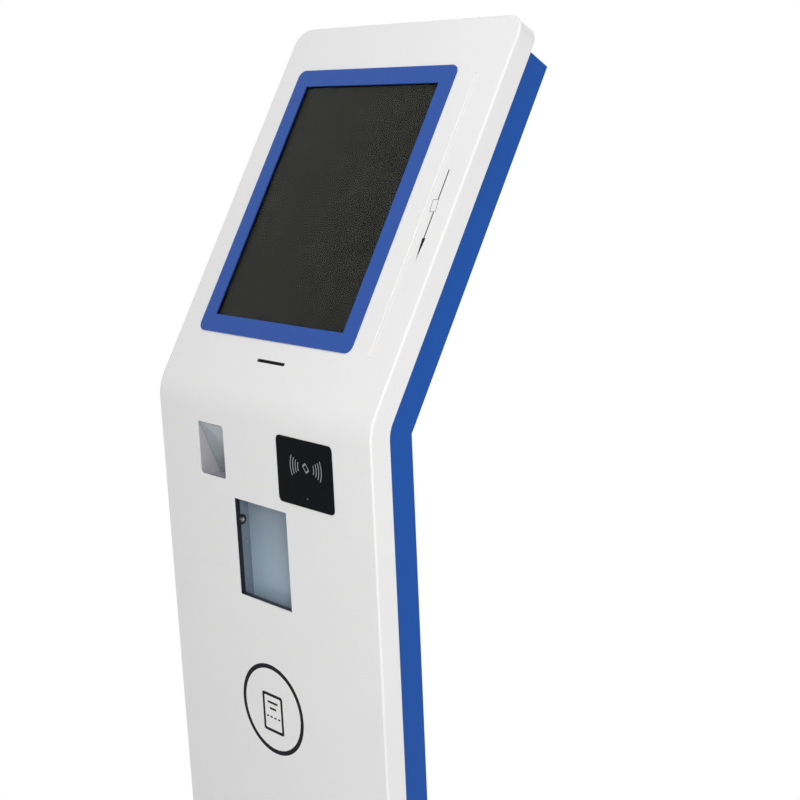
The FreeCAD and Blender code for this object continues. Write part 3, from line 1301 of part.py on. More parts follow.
def make_gear_plate():
    """Mounting plate on four standoffs, which carries the computer, the supply and the socket strip."""
    parts = [plate("gear_panel", "LowerFrame", ("0", PLATE_FRONT, f"{PLATE_TOP} - gear_plate_height / 2"),
                   ("gear_plate_width", "cabinet_sheet", "gear_plate_height"), "case_corner")]
    for side in ("-1", "1"):
        for row, drop in (("upper", "plate_inset"), ("lower", "(gear_plate_height - plate_inset)")):
            parts.append(rod(f"plate_post_{tag_of(side, row)}", "LowerFrame",
                             (f"{side} * (gear_plate_width / 2 - plate_inset)", "shell_sheet",
                              f"{PLATE_TOP} - {drop}"),
                             "standoff_radius", "standoff_height + cabinet_sheet / 2", "y"))
    finish(join("gear_plate", *parts), "gear_plate")


def make_computer():
    """Small sheet-metal computer with a row of cooling slots and its power button."""
    across = "(-gear_plate_width / 2 + case_inset + computer_width / 2)"
    middle = f"({PLATE_TOP} - case_inset - computer_height / 2)"
    face = f"({PLATE_BACK} + computer_depth)"
    case = plate("computer_blank", "LowerFrame", (across, PLATE_BACK, middle),
                 ("computer_width", "computer_depth", "computer_height"), "case_corner")
    tools = []
    for index in range(int(number("case_vents"))):
        tools.append(plate(f"computer_slot_{index}", "LowerFrame",
                           (f"{across} + ({index} - (case_vents - 1) / 2) * case_vent_pitch",
                            f"{face} - case_vent_depth", f"{middle} + case_vent_rise"),
                           ("case_vent_width", "case_vent_depth + tool_spare", "case_vent_length")))
    button_x = f"({across} + computer_width / 2 - button_inset)"
    button_z = f"({middle} - computer_height / 2 + button_inset)"
    tools.append(rod("button_well", "LowerFrame", (button_x, f"{face} - button_length", button_z),
                     "button_radius + seat_gap", "button_length + tool_spare", "y"))
    finish(cut("computer", case, *tools), "computer")
    finish(rod("power_button", "LowerFrame", (button_x, f"{face} - button_length + button_proud", button_z),
               "button_radius", "button_length", "y"), "power_button")


def make_power():
    """Boxed power supply and the socket strip on the mounting plate."""
    finish(plate("power_supply", "LowerFrame",
                 ("gear_plate_width / 2 - plate_inset - supply_width / 2", PLATE_BACK,
                  f"{PLATE_TOP} - case_inset - supply_height / 2"),
                 ("supply_width", "supply_depth", "supply_height"), "case_corner"), "power_supply")
    across = "(-gear_plate_width / 2 + plate_inset + strip_width / 2)"
    level = f"({PLATE_TOP} - gear_plate_height + plate_inset + strip_height / 2)"
    strip = plate("strip_blank", "LowerFrame", (across, PLATE_BACK, level),
                  ("strip_width", "strip_depth", "strip_height"), "case_corner")
    wells = []
    for step in ("-1", "0", "1"):
        wells.append(rod(f"socket_{tag_of(step)}", "LowerFrame",
                         (f"{across} + {step} * socket_pitch", f"{PLATE_BACK} + strip_depth - socket_depth",
                          level),
                         "socket_radius", "socket_depth + tool_spare", "y"))
    finish(cut("socket_strip", strip, *wells), "socket_strip")


def make_fan():
    """Exhaust fan on the rear wall: frame with four arms and a hub seat, and the bladed rotor."""
    front = "(cabinet_depth - cabinet_sheet - fan_depth)"
    level = "-foot_row_drop"
    reach = "(fan_radius + fan_arm / 2)"
    spindle_length = "(fan_depth - 10 * rotor_gap)"
    ring = plate("fan_blank", "LowerFrame", ("fan_x", front, level), ("fan_size", "fan_depth", "fan_size"),
                 "case_corner")
    bore = rod("fan_bore", "LowerFrame", ("fan_x", f"{front} - tool_spare", level), "fan_radius + tip_gap",
               "fan_depth + 2 * tool_spare", "y")
    seat = rod("fan_seat", "LowerFrame", ("fan_x", front, level), "fan_hub_radius", "fan_arm", "y")
    arms = [box("fan_arm_across", "LowerFrame", (f"fan_x - {reach}", front, f"{level} - fan_arm / 2"),
                (f"2 * {reach}", "fan_arm", "fan_arm")),
            box("fan_arm_up", "LowerFrame", ("fan_x - fan_arm / 2", front, f"{level} - {reach}"),
                ("fan_arm", "fan_arm", f"2 * {reach}"))]
    spindle = rod("fan_spindle", "LowerFrame", ("fan_x", front, level), "fan_spindle_radius",
                  spindle_length, "y")
    finish(join("fan_frame", cut("fan_ring", ring, bore), seat, spindle, *arms), "fan_frame")
    start = f"({front} + fan_arm + rotor_gap)"
    deep = "(fan_depth - fan_arm - 5 * rotor_gap)"
    chord = f"({deep} / cos(blade_pitch) - blade_root)"
    parts = [rod("rotor_hub", "LowerFrame", ("fan_x", start, level), "fan_hub_radius", deep, "y")]
    count = int(number("fan_blades"))
    for index in range(count):
        blade = doc.addObject("Part::Box", f"rotor_blade_{index}")
        bind(blade, Length="fan_radius - fan_hub_radius + blade_root", Width="fan_blade_sheet", Height=chord)
        angle = 360 * index / count
        turn = f"rotation(vector(0; 1; 0); {angle}) * rotation(vector(1; 0; 0); blade_pitch - 90)"
        centre = f"LowerFrame.Placement * placement(vector(fan_x; {start} + {deep} / 2; {level}); {turn})"
        inset = f"vector(fan_hub_radius - blade_root; -fan_blade_sheet / 2; -{chord} / 2)"
        bind(blade, Placement=f"{centre} * placement({inset}; rotation(vector(1; 0; 0); 0))")
        parts.append(blade)
    clipped = doc.addObject("Part::Common", "rotor_clipped")
    clipped.Base = join("rotor_blank", *parts)
    clipped.Tool = rod("rotor_bounds", "LowerFrame", ("fan_x", start, level), "fan_radius", deep, "y")
    eye = rod("rotor_eye", "LowerFrame", ("fan_x", f"{start} - tool_spare", level),
              "fan_spindle_radius + running_gap", f"{spindle_length} - fan_arm + tool_spare", "y")
    finish(cut("fan_rotor", clipped, eye), "fan_rotor")


ROCKER_AXLE_X = "(rocker_x - rocker_width / 2 - rocker_axle_end)"
ROCKER_AXLE_DEPTH = "(cabinet_depth - rocker_axle_depth)"


def make_mains():
    """Mains inlet with three pins, and the case of the rocker switch beside it."""
    back = "(cabinet_depth - cabinet_sheet)"
    level = "-foot_row_drop"
    body = plate("inlet_blank", "LowerFrame", ("inlet_x", f"{back} - inlet_depth", level),
                 ("inlet_width", "inlet_depth + cabinet_sheet", "inlet_height"))
    flange = plate("inlet_flange", "LowerFrame", ("inlet_x", "cabinet_depth", level),
                   ("inlet_width + 2 * inlet_rim", "inlet_flange", "inlet_height + inlet_rim"),
                   "inlet_corner")
    well = plate("inlet_well", "LowerFrame", ("inlet_x", f"{back} - inlet_well_depth", level),
                 ("inlet_well_width", "inlet_well_depth + cabinet_sheet + inlet_flange + tool_spare",
                  "inlet_well_height"), "inlet_corner")
    pins = []
    for index, (across, up) in enumerate((("-pin_pitch", "-pin_side_drop"), ("pin_pitch", "-pin_side_drop"),
                                          ("0", "pin_middle_rise"))):
        pins.append(plate(f"inlet_pin_{index}", "LowerFrame",
                          (f"inlet_x + ({across})", f"{back} - inlet_well_depth - pin_root",
                           f"{level} + ({up})"),
                          ("pin_sheet", "inlet_well_depth + pin_root / 2", "pin_height")))
    inlet = join("inlet_socket", cut("inlet_shell", join("inlet_outer", body, flange), well), *pins)
    rim = plate("rocker_rim", "LowerFrame", ("rocker_x", "cabinet_depth", level),
                ("rocker_width + 2 * rocker_rim", "rocker_flange", "rocker_height + 2 * rocker_rim"),
                "rocker_flange")
    case = plate("rocker_case", "LowerFrame", ("rocker_x", f"{back} - rocker_case_depth", level),
                 ("rocker_width + rocker_wall", "rocker_case_depth + cabinet_sheet",
                  "rocker_height + rocker_wall"))
    space = plate("rocker_space", "LowerFrame", ("rocker_x", f"{back} - rocker_space_depth", level),
                  ("rocker_width + 2 * seat_gap",
                   "rocker_space_depth + cabinet_sheet + rocker_flange + tool_spare",
                   "rocker_height + rocker_wall / 2"))
    bearing = rod("rocker_bearing", "LowerFrame",
                  (f"{ROCKER_AXLE_X} - 2 * hole_gap", ROCKER_AXLE_DEPTH, level),
                  "rocker_axle_radius + running_gap", "rocker_width + 2 * rocker_axle_end + 4 * hole_gap",
                  "x")
    switch = cut("switch_case", join("switch_blank", rim, case), space, bearing)
    finish(join("mains_inlet", inlet, switch), "mains_inlet")


def make_rocker():
    """Rocker of the mains switch: a dished paddle on an axle."""
    level = "-foot_row_drop"
    tall = "(rocker_height / 2)"
    face = [("-rocker_back", f"-{tall} + rocker_taper"), ("rocker_edge", f"-{tall}"),
            ("rocker_nose", f"-{tall} + seat_gap"), ("rocker_waist", "0"),
            ("rocker_nose", f"{tall} - seat_gap"), ("rocker_edge", tall),
            ("-rocker_back", f"{tall} - rocker_taper")]
    paddle = prism("rocker_paddle", "LowerFrame", "rocker_x", face, "rocker_width")
    place(paddle, "LowerFrame", ("rocker_x", ROCKER_AXLE_DEPTH, level), "rocker")
    axle = rod("rocker_axle", "LowerFrame", (ROCKER_AXLE_X, ROCKER_AXLE_DEPTH, level), "rocker_axle_radius",
               "rocker_width + 2 * rocker_axle_end", "x")
    finish(join("rocker_switch", paddle, axle), "rocker_switch")


make_front_shell()
make_rear_cabinet()
make_head_cover()
make_service_door()
make_door_hinges()
make_lock()
make_base()
make_screen()
make_monitor_fixings()
make_card_reader()
make_swipe_slot()
make_identity_reader()
make_scanner()
make_port()
make_port_flap()
make_printer_frame()
make_platen()
make_print_motor()
make_printer_head()
make_cutter()
make_paper()
make_gear_plate()
make_computer()
make_power()
make_fan()
make_mains()
make_rocker()
doc.recompute()

# Every object has to be sound before anything is written.
for item in doc.Objects:
    if "Invalid" in item.State or "Error" in item.State:
        raise RuntimeError(f"{item.Name} is {item.State}")
for item in subparts:
    if item.Shape.isNull() or not item.Shape.isValid() or not item.Shape.Solids:
        raise RuntimeError(f"{item.Label} has no sound solid")

os.makedirs("parts", exist_ok=True)
for item in subparts:
    item.Shape.exportStep(f"parts/{item.Label}.step")
    print(item.Label, len(item.Shape.Solids), round(item.Shape.Volume / 1000, 2), "cm3")
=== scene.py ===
import math
from collections import namedtuple

import bpy
from mathutils import Matrix, Vector


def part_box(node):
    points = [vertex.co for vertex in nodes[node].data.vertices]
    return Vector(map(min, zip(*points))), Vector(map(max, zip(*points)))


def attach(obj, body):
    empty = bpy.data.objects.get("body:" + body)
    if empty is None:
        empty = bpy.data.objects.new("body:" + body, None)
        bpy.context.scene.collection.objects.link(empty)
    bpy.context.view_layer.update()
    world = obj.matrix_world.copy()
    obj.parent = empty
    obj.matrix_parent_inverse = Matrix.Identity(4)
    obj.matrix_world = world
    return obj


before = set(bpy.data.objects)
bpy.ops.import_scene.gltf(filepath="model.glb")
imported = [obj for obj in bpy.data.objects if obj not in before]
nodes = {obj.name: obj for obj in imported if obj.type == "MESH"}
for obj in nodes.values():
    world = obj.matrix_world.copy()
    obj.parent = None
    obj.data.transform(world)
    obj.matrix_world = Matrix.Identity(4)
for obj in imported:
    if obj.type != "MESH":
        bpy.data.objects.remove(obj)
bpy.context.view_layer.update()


# Folded white front shell. The real one is a single sheet of 2 mm steel, bent at the knee and
# round its edges, with a satin white polyester powder coat baked on. The coat's orange peel is
# about 0.8 mm wide and shows only in highlights, so it is drawn 2.5 mm wide.
MM = 0.001


def linear(colour):
    """The linear RGBA of an sRGB hex colour, by the sRGB curve with its straight foot."""
    channels = []
    for start in (1, 3, 5):
        part = int(colour[start:start + 2], 16) / 255
        channels.append(part / 12.92 if part <= 0.04045 else ((part + 0.055) / 1.055) ** 2.4)
    return channels + [1.0]


def add_node(tree, kind, values, links=None):
    """Add one node, set its properties and sockets by name and link sockets from other nodes."""
    node = tree.nodes.new("ShaderNode" + kind)
    for name, value in values.items():
        if name in node.inputs:
            node.inputs[name].default_value = value
        else:
            setattr(node, name, value)
    for name, (source, output) in (links or {}).items():
        tree.links.new(source.outputs[output], node.inputs[name])
    return node


Finish = namedtuple("Finish", ("material", "tree", "shader", "place"))


def new_finish(name, values):
    """A material with one shader, its socket values, and coordinates in metres."""
    material = bpy.data.materials.new(name)
    material.use_nodes = True
    tree = material.node_tree
    shader = tree.nodes["Principled BSDF"]
    for socket, value in values.items():
        shader.inputs[socket].default_value = value
    return Finish(material, tree, shader, add_node(tree, "TexCoord", {}))


def join(finish, node, output, socket):
    """Lead a node's output into a socket of the finish's shader."""
    finish.tree.links.new(node.outputs[output], finish.shader.inputs[socket])


def vary_colour(finish, colour, other, width):
    """Drift between two close colours in patches of a width in millimetres."""
    noise = add_node(finish.tree, "TexNoise", {"Scale": 1 / (width * MM), "Detail": 3.0},
                     {"Vector": (finish.place, "Object")})
    mix = add_node(finish.tree, "MixRGB", {"Color1": linear(colour), "Color2": linear(other)},
                   {"Fac": (noise, "Fac")})
    join(finish, mix, "Color", "Base Color")
    return mix


# Nearly all of a noise lies between these values, which are spread over the two roughnesses.
NOISE_LOW = 0.3
NOISE_HIGH = 0.7


def vary_gloss(finish, low, high, width):
    """Roughness that wanders between two values in patches of a width in millimetres."""
    noise = add_node(finish.tree, "TexNoise", {"Scale": 1 / (width * MM), "Detail": 4.0},
                     {"Vector": (finish.place, "Object")})
    spread = add_node(finish.tree, "MapRange", {"From Min": NOISE_LOW, "From Max": NOISE_HIGH,
                                                "To Min": low, "To Max": high}, {"Value": (noise, "Fac")})
    join(finish, spread, "Result", "Roughness")


def grain(finish, width, depth, stretch=(1.0, 1.0, 1.0)):
    """Fine relief: width and depth in millimetres, stretch along each axis for brushed or drawn metal."""
    mapping = add_node(finish.tree, "Mapping", {"Scale": stretch}, {"Vector": (finish.place, "Object")})
    noise = add_node(finish.tree, "TexNoise", {"Scale": 1 / (width * MM), "Detail": 2.0},
                     {"Vector": (mapping, "Vector")})
    bump = add_node(finish.tree, "Bump", {"Strength": 1.0, "Distance": depth * MM},
                    {"Height": (noise, "Fac")})
    join(finish, bump, "Normal", "Normal")


def dress(finish, *names):
    """Give CAD nodes a finish without touching their meshes."""
    for name in names:
        for slot in nodes[name].material_slots:
            slot.material = finish.material


# Widths of the coat's patches of colour and of gloss, and width and depth of its orange peel.
COAT_COLOUR_PATCH = 220
COAT_GLOSS_PATCH = 60
COAT_GLOSS_SPREAD = 0.04
PEEL_WIDTH = 2.5
PEEL_DEPTH = 0.012


def powder_coat(name, colour, other, gloss, shine=0.3):
    """Baked powder coat on steel: satin, faintly mottled, with orange peel."""
    finish = new_finish(name, {"IOR": 1.5, "Specular IOR Level": shine})
    vary_colour(finish, colour, other, COAT_COLOUR_PATCH)
    vary_gloss(finish, gloss - COAT_GLOSS_SPREAD, gloss + COAT_GLOSS_SPREAD, COAT_GLOSS_PATCH)
    grain(finish, PEEL_WIDTH, PEEL_DEPTH)
    return finish


WHITE = "#F0EFEF"
WHITE_SHADE = "#EAE9E9"
white_coat = powder_coat("white_powder_coated_steel", WHITE, WHITE_SHADE, 0.52, 0.12)
dress(white_coat, "front_shell")


# Rear cabinet, head cover and their screws. The cabinet is folded and welded from 2 mm steel, the
# cover is a flat 1.5 mm sheet with punched vents, and both have the same satin blue powder coat.
# The screws are pan heads of nickel-plated steel, bright and slightly warm.
BLUE = "#1B54A8"
BLUE_SHADE = "#184EA0"
blue_coat = powder_coat("blue_powder_coated_steel", BLUE, BLUE_SHADE, 0.42, 0.15)
dress(blue_coat, "rear_cabinet", "head_cover")


def plated_metal(name, colour, other, low, high, patch):
    """Plated or bare metal: patches of slightly different crystal and gloss."""
    finish = new_finish(name, {"Metallic": 1.0})
    vary_colour(finish, colour, other, patch)
    vary_gloss(finish, low, high, patch)
    return finish


nickel = plated_metal("nickel_plated_steel", "#C9C5BC", "#B7B3AB", 0.22, 0.34, 3)
dress(nickel, "head_cover_screws")


# Joint shadow: a thin near-black strip along each side, on the cabinet where it meets the white
# shell, is painted shadow for the gap there. The strip is 1.2 mm wide and shows as the thin dark line
# between white and blue.
KNEE = Vector((0.0, -135 * MM, 920 * MM))
HEAD_TILT = math.radians(28.3)
LOWER_LEAN = math.radians(3.4)
CABINET_HALF = 216.0

# The strip's thickness, the depths of its two edges behind the front, and its lengths down and
# up from the knee, in millimetres.
SHADOW_STRIP_THICKNESS = 0.3
SHADOW_STRIP_DEPTHS = (32.05, 33.25)
SHADOW_STRIP_FOOT = 905.0
SHADOW_STRIP_TOP = 539.0


def joint_line(depth):
    """Points (y, z) from the knee where a depth behind the front meets foot, knee and top of the head."""
    foot = ((depth + SHADOW_STRIP_FOOT * math.sin(LOWER_LEAN)) / math.cos(LOWER_LEAN), -SHADOW_STRIP_FOOT)
    reach = depth / math.cos((HEAD_TILT + LOWER_LEAN) / 2)
    bend = (HEAD_TILT - LOWER_LEAN) / 2
    head = (SHADOW_STRIP_TOP * math.sin(HEAD_TILT) + depth * math.cos(HEAD_TILT),
            SHADOW_STRIP_TOP * math.cos(HEAD_TILT) - depth * math.sin(HEAD_TILT))
    return [foot, (reach * math.cos(bend), -reach * math.sin(bend)), head]


def painted_shadow_strip(name, side, finish):
    """A closed strip along one side: a four-cornered section at foot, knee and top, joined by faces."""
    near_line, far_line = (joint_line(depth) for depth in SHADOW_STRIP_DEPTHS)
    inner = side * CABINET_HALF
    outer = side * (CABINET_HALF + SHADOW_STRIP_THICKNESS)
    points = []
    for near_point, far_point in zip(near_line, far_line):
        section = ((inner, near_point), (outer, near_point), (outer, far_point), (inner, far_point))
        for across, (y, z) in section:
            points.append(tuple(KNEE + Vector((across, y, z)) * MM))
    sections = [tuple(range(first, first + 4)) for first in range(0, len(points), 4)]
    faces = [sections[0], sections[-1][::-1]]
    for this, after in zip(sections, sections[1:]):
        for edge in range(4):
            following = (edge + 1) % 4
            faces.append((this[following], this[edge], after[edge], after[following]))
    mesh = bpy.data.meshes.new(name)
    mesh.from_pydata(points, [], faces if side > 0 else [face[::-1] for face in faces])
    mesh.materials.append(finish.material)
    piece = bpy.data.objects.new(name, mesh)
    bpy.context.scene.collection.objects.link(piece)
    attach(piece, "root")


# Near-black finish of the strips: painted shadow for the gap between shell and cabinet.
joint_shadow_paint = new_finish("painted_joint_shadow", {"IOR": 1.5, "Specular IOR Level": 0.1})
vary_colour(joint_shadow_paint, "#0B1220", "#0F1728", 8)
vary_gloss(joint_shadow_paint, 0.8, 0.95, 10)
painted_shadow_strip("right_joint_painted_shadow", 1, joint_shadow_paint)
painted_shadow_strip("left_joint_painted_shadow", -1, joint_shadow_paint)


# Service door and its three hinges. The door is a shallow steel tray with the cabinet's blue
# coat, and the hinge leaves were welded on before coating, so they are blue too. The pins are
# drawn steel wire, smooth along their length.
dress(blue_coat, "service_door", "hinge_fixed_leaves", "hinge_door_leaves")

steel = plated_metal("drawn_bright_steel", "#BDBEC0", "#A9AAAD", 0.24, 0.36, 5)
grain(steel, 0.6, 0.004, (1.0, 0.08, 0.08))
dress(steel, "hinge_pins")


# Cam lock of the door: a zinc die casting with bright chrome plating, a pressed nut, the plug
# with its keyway and a stamped cam. Chrome is nearly mirror-like with faint handling marks.
chrome = plated_metal("chrome_plated_zinc", "#D2D3D5", "#C4C5C8", 0.08, 0.18, 6)
dress(chrome, "lock_body", "lock_plug")
dress(nickel, "lock_nut")


ZINC_CRYSTAL = 5


def galvanised(name, colour, other):
    """Zinc-plated sheet: crystals about 5 mm across that each catch the light differently."""
    finish = new_finish(name, {"Metallic": 1.0})
    cells = add_node(finish.tree, "TexVoronoi", {"Scale": 1 / (ZINC_CRYSTAL * MM)},
                     {"Vector": (finish.place, "Object")})
    level = add_node(finish.tree, "SeparateColor", {}, {"Color": (cells, "Color")})
    mix = add_node(finish.tree, "MixRGB", {"Color1": linear(colour), "Color2": linear(other)},
                   {"Fac": (level, "Red")})
    join(finish, mix, "Color", "Base Color")
    gloss = add_node(finish.tree, "MapRange", {"To Min": 0.34, "To Max": 0.5}, {"Value": (level, "Green")})
    join(finish, gloss, "Result", "Roughness")
    grain(finish, 1.2, 0.006)
    return finish


zinc = galvanised("zinc_plated_sheet", "#B4B7BB", "#A5A8AD")
dress(zinc, "lock_cam")


# Base: a laser-cut 8 mm plate in the same blue coat, four moulded rubber pads under it and two
# zinc-plated angles that bolt the cabinet down. Rubber is dark grey and dull, with fine mould grain.
dress(blue_coat, "base_plate")
dress(zinc, "base_angles")
dress(nickel, "base_bolts")


RUBBER_GLOSS_SPREAD = 0.06


def rubber(name, colour, other, rough):
    """Rubber or foam as it leaves the mould: dark, dull and finely grained."""
    finish = new_finish(name, {"IOR": 1.52})
    vary_colour(finish, colour, other, 8)
    vary_gloss(finish, rough - RUBBER_GLOSS_SPREAD, rough + RUBBER_GLOSS_SPREAD, 10)
    grain(finish, 0.5, 0.02)
    return finish


pad_rubber = rubber("moulded_black_rubber", "#1D1D1E", "#242425", 0.75)
dress(pad_rubber, "base_pads")


# Screen frame: a 1.5 mm sheet frame round the display with the same blue, but a slightly glossier
# batch than the cabinet. A thin black foam gasket seals the glass behind it.
frame_coat = powder_coat("blue_screen_frame_coat", "#2350A3", "#204C9D", 0.38, 0.25)
dress(frame_coat, "screen_bezel")

foam = rubber("closed_cell_foam", "#101113", "#17181A", 0.9)
dress(foam, "screen_gasket")


# Touch glass and display: 3 mm toughened sheet, bonded over the panel, with an etched face and an
# anti-reflective coating. A low index and a dark tint stand for the coating, so the switched-off
# panel shows as a warm near-black. The etched grain is drawn coarser than it is, 1.5 mm wide.
COATED_IOR = 1.15
COATED_TINT = "#303030"
glass = new_finish("coated_touch_glass", {"Base Color": linear("#F4F6F2"), "IOR": COATED_IOR,
                                          "Transmission Weight": 1.0, "Specular Tint": linear(COATED_TINT)})
vary_gloss(glass, 0.18, 0.26, 30)
grain(glass, 1.5, 0.003)
dress(glass, "touch_glass")

panel = new_finish("display_polariser_film", {"IOR": 1.5, "Specular IOR Level": 0.05})
vary_colour(panel, "#1F1F1B", "#1C1C17", 60)
vary_gloss(panel, 0.45, 0.6, 40)
dress(panel, "display_panel")


# Screen tray, its four angle brackets and nuts, and the driver board. The tray and brackets are
# zinc-plated sheet. The board is woven glass epoxy with green solder mask, whose copper tracks
# show as lighter lines about 2 mm apart.
dress(zinc, "monitor_tray", "monitor_brackets")
dress(nickel, "monitor_nuts")

TRACK_PITCH = 2.25
TRACKS_TO_A_TILE = 4
mask = new_finish("green_solder_mask", {"IOR": 1.55, "Roughness": 0.3})
tracks = add_node(mask.tree, "TexBrick", {"Scale": 1 / (TRACKS_TO_A_TILE * TRACK_PITCH * MM),
                                          "Mortar Size": 0.06, "Color1": linear("#1D5B36"),
                                          "Color2": linear("#1A5231"), "Mortar": linear("#3C7F53")},
                  {"Vector": (mask.place, "Object")})
join(mask, tracks, "Color", "Base Color")
grain(mask, 1.0, 0.01)
dress(mask, "monitor_board")


# Chip card reader: a moulded black ABS case whose lips fill the slot under the screen. The
# mould's spark texture makes it matte, with a grain near 0.4 mm that is drawn 0.6 mm wide.
SPARK_GRAIN = 0.6
PLASTIC_GLOSS_SPREAD = 0.05


def moulded_plastic(name, colour, other, rough, relief=0.015, shine=0.5):
    """Injection-moulded plastic: even colour, with the mould's grain of a relief in millimetres."""
    finish = new_finish(name, {"IOR": 1.53, "Specular IOR Level": shine})
    vary_colour(finish, colour, other, 30)
    vary_gloss(finish, rough - PLASTIC_GLOSS_SPREAD, rough + PLASTIC_GLOSS_SPREAD, 12)
    grain(finish, SPARK_GRAIN, relief)
    return finish


black_abs = moulded_plastic("moulded_black_abs", "#0E0D12", "#131217", 0.5, shine=0.15)
dress(black_abs, "card_reader")


# Swipe slot beside the screen: a white ABS channel that stands slightly proud of the shell, with
# a shallow groove along it, and the magnetic reader behind. Its edges catch the light as a line.
white_abs = moulded_plastic("moulded_white_abs", "#F0EFEF", "#ECEBEB", 0.5, 0.006, 0.1)
dress(white_abs, "swipe_channel")
dress(black_abs, "swipe_reader")


# Directions printed beside the swipe slot: a thin black arrow that points down along the groove,
# broken by the outline of a card. It is screen-printed ink, hundredths of a millimetre thick.
HEAD_FACE = Matrix.Translation(KNEE) @ Matrix.Rotation(-HEAD_TILT, 4, "X")
LOWER_FACE = Matrix.Translation(KNEE) @ Matrix.Rotation(LOWER_LEAN, 4, "X")
INK_THICKNESS = 0.06


def print_ink(name, face, height, outlines, finish):
    """Flat ink shapes on a face: closed outlines in millimetres, and one inside another is a hole."""
    curve = bpy.data.curves.new(name, "CURVE")
    curve.dimensions = "2D"
    curve.fill_mode = "BOTH"
    curve.extrude = INK_THICKNESS * MM / 2
    for outline in outlines:
        spline = curve.splines.new("POLY")
        spline.points.add(len(outline) - 1)
        spline.use_cyclic_u = True
        for point, (across, up) in zip(spline.points, outline):
            point.co = (across * MM, up * MM, 0.0, 1.0)
    flat = bpy.data.objects.new(name + "_curve", curve)
    bpy.context.scene.collection.objects.link(flat)
    bpy.context.view_layer.update()
    mesh = bpy.data.meshes.new_from_object(flat.evaluated_get(bpy.context.evaluated_depsgraph_get()))
    bpy.data.objects.remove(flat)
    mesh.materials.clear()
    mesh.materials.append(finish.material)
    piece = bpy.data.objects.new(name, mesh)
    bpy.context.scene.collection.objects.link(piece)
    outward = Matrix.Translation((0.0, -(height + INK_THICKNESS / 2) * MM, 0.0))
    piece.matrix_world = face @ outward @ Matrix.Rotation(math.radians(90), 4, "X")
    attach(piece, "root")


def line_outline(points, width):
    """The closed outline of a line of even width through points."""
    left, right = [], []
    for index, point in enumerate(points):
        before = Vector(points[max(index - 1, 0)])
        after = Vector(points[min(index + 1, len(points) - 1)])
        along = (after - before).normalized()
        side = Vector((-along.y, along.x)) * width / 2
        left.append(Vector(point) + side)
        right.append(Vector(point) - side)
    return [tuple(corner) for corner in left + right[::-1]]


def arc_points(centre, radius, start, end, count):
    """Points along an arc, its angles in degrees from the x axis."""
    steps = [math.radians(start + (end - start) * index / (count - 1)) for index in range(count)]
    return [(centre[0] + radius * math.cos(step), centre[1] + radius * math.sin(step)) for step in steps]


def circle_points(centre, radius, count):
    """Evenly spaced points round a whole circle."""
    return arc_points(centre, radius, 0, 360 - 360 / count, count)


CORNER_POINTS = 5


def rounded_outline(centre, width, height, corner, turn=0.0):
    """A rectangle with round corners about a centre, turned by an angle in degrees."""
    points = []
    for side, top, start in ((1, 1, 0), (-1, 1, 90), (-1, -1, 180), (1, -1, 270)):
        middle = (side * (width / 2 - corner), top * (height / 2 - corner))
        points += arc_points(middle, corner, start, start + 90, CORNER_POINTS)
    spin = Matrix.Rotation(math.radians(turn), 2)
    return [tuple(Vector(centre) + spin @ Vector(point)) for point in points]


ink = new_finish("black_screen_ink", {"IOR": 1.5, "Specular IOR Level": 0.1})
vary_colour(ink, "#0B0A12", "#100F18", 6)
vary_gloss(ink, 0.45, 0.6, 6)

# Places are (across, up) from the knee's middle along the head. The shaft stops above and below
# the card, and the card's two outlines are given as width, height and corner radius.
ARROW_LINE = 1.7
ARROW_TOP = (193.5, 349.9)
ARROW_ABOVE_CARD = (193.8, 308.6)
ARROW_BELOW_CARD = (194.0, 290.6)
ARROW_NECK = (194.3, 254.4)
ARROW_TIP = (194.5, 223.6)
ARROW_HALF = 2.8
CARD_MIDDLE = (190.9, 299.3)
CARD_OUTER = (10.2, 17.6, 1.0)
CARD_INNER = (9.0, 16.4, 0.6)
CARD_TILT = 5
arrow_head = [(ARROW_NECK[0] - ARROW_HALF, ARROW_NECK[1]), ARROW_TIP,
              (ARROW_NECK[0] + ARROW_HALF, ARROW_NECK[1])]
arrow = [line_outline([ARROW_TOP, ARROW_ABOVE_CARD], ARROW_LINE),
         line_outline([ARROW_BELOW_CARD, ARROW_NECK], ARROW_LINE), arrow_head]
card = [rounded_outline(CARD_MIDDLE, *shape, CARD_TILT) for shape in (CARD_OUTER, CARD_INNER)]
print_ink("swipe_arrow_print", HEAD_FACE, 0.0, arrow, ink)
print_ink("swipe_card_print", HEAD_FACE, 0.0, card, ink)


# A black line round the chip card slot, in the same ink as the arrow, widens the slot's dark look.
# It is 0.7 mm wide and lies on the coat.
CARD_SLOT = (-2.0, 60.7)
SLOT_LINE_OUTER = (57.4, 4.5, 1.2)
SLOT_LINE_INNER = (56.0, 3.0, 1.0)
slot_line = [rounded_outline(CARD_SLOT, *shape) for shape in (SLOT_LINE_OUTER, SLOT_LINE_INNER)]
print_ink("card_slot_dark_line", HEAD_FACE, 0.0, slot_line, ink)


# Identity card reader: a 3 mm window of black acrylic, printed on its back and polished at the
# edge, on the contactless reader that carries it. Light grey waves and a small tilted card show
# where a card is held, over a small indicator lens.
acrylic = new_finish("back_printed_acrylic", {"IOR": 1.49, "Specular IOR Level": 0.03})
vary_colour(acrylic, "#090B0F", "#0C0E12", 50)
vary_gloss(acrylic, 0.10, 0.16, 40)
dress(acrylic, "reader_window")
dress(black_abs, "reader_module")

grey_ink = new_finish("light_grey_screen_ink", {"IOR": 1.5})
vary_colour(grey_ink, "#8E9093", "#9A9C9F", 5)
vary_gloss(grey_ink, 0.4, 0.55, 5)

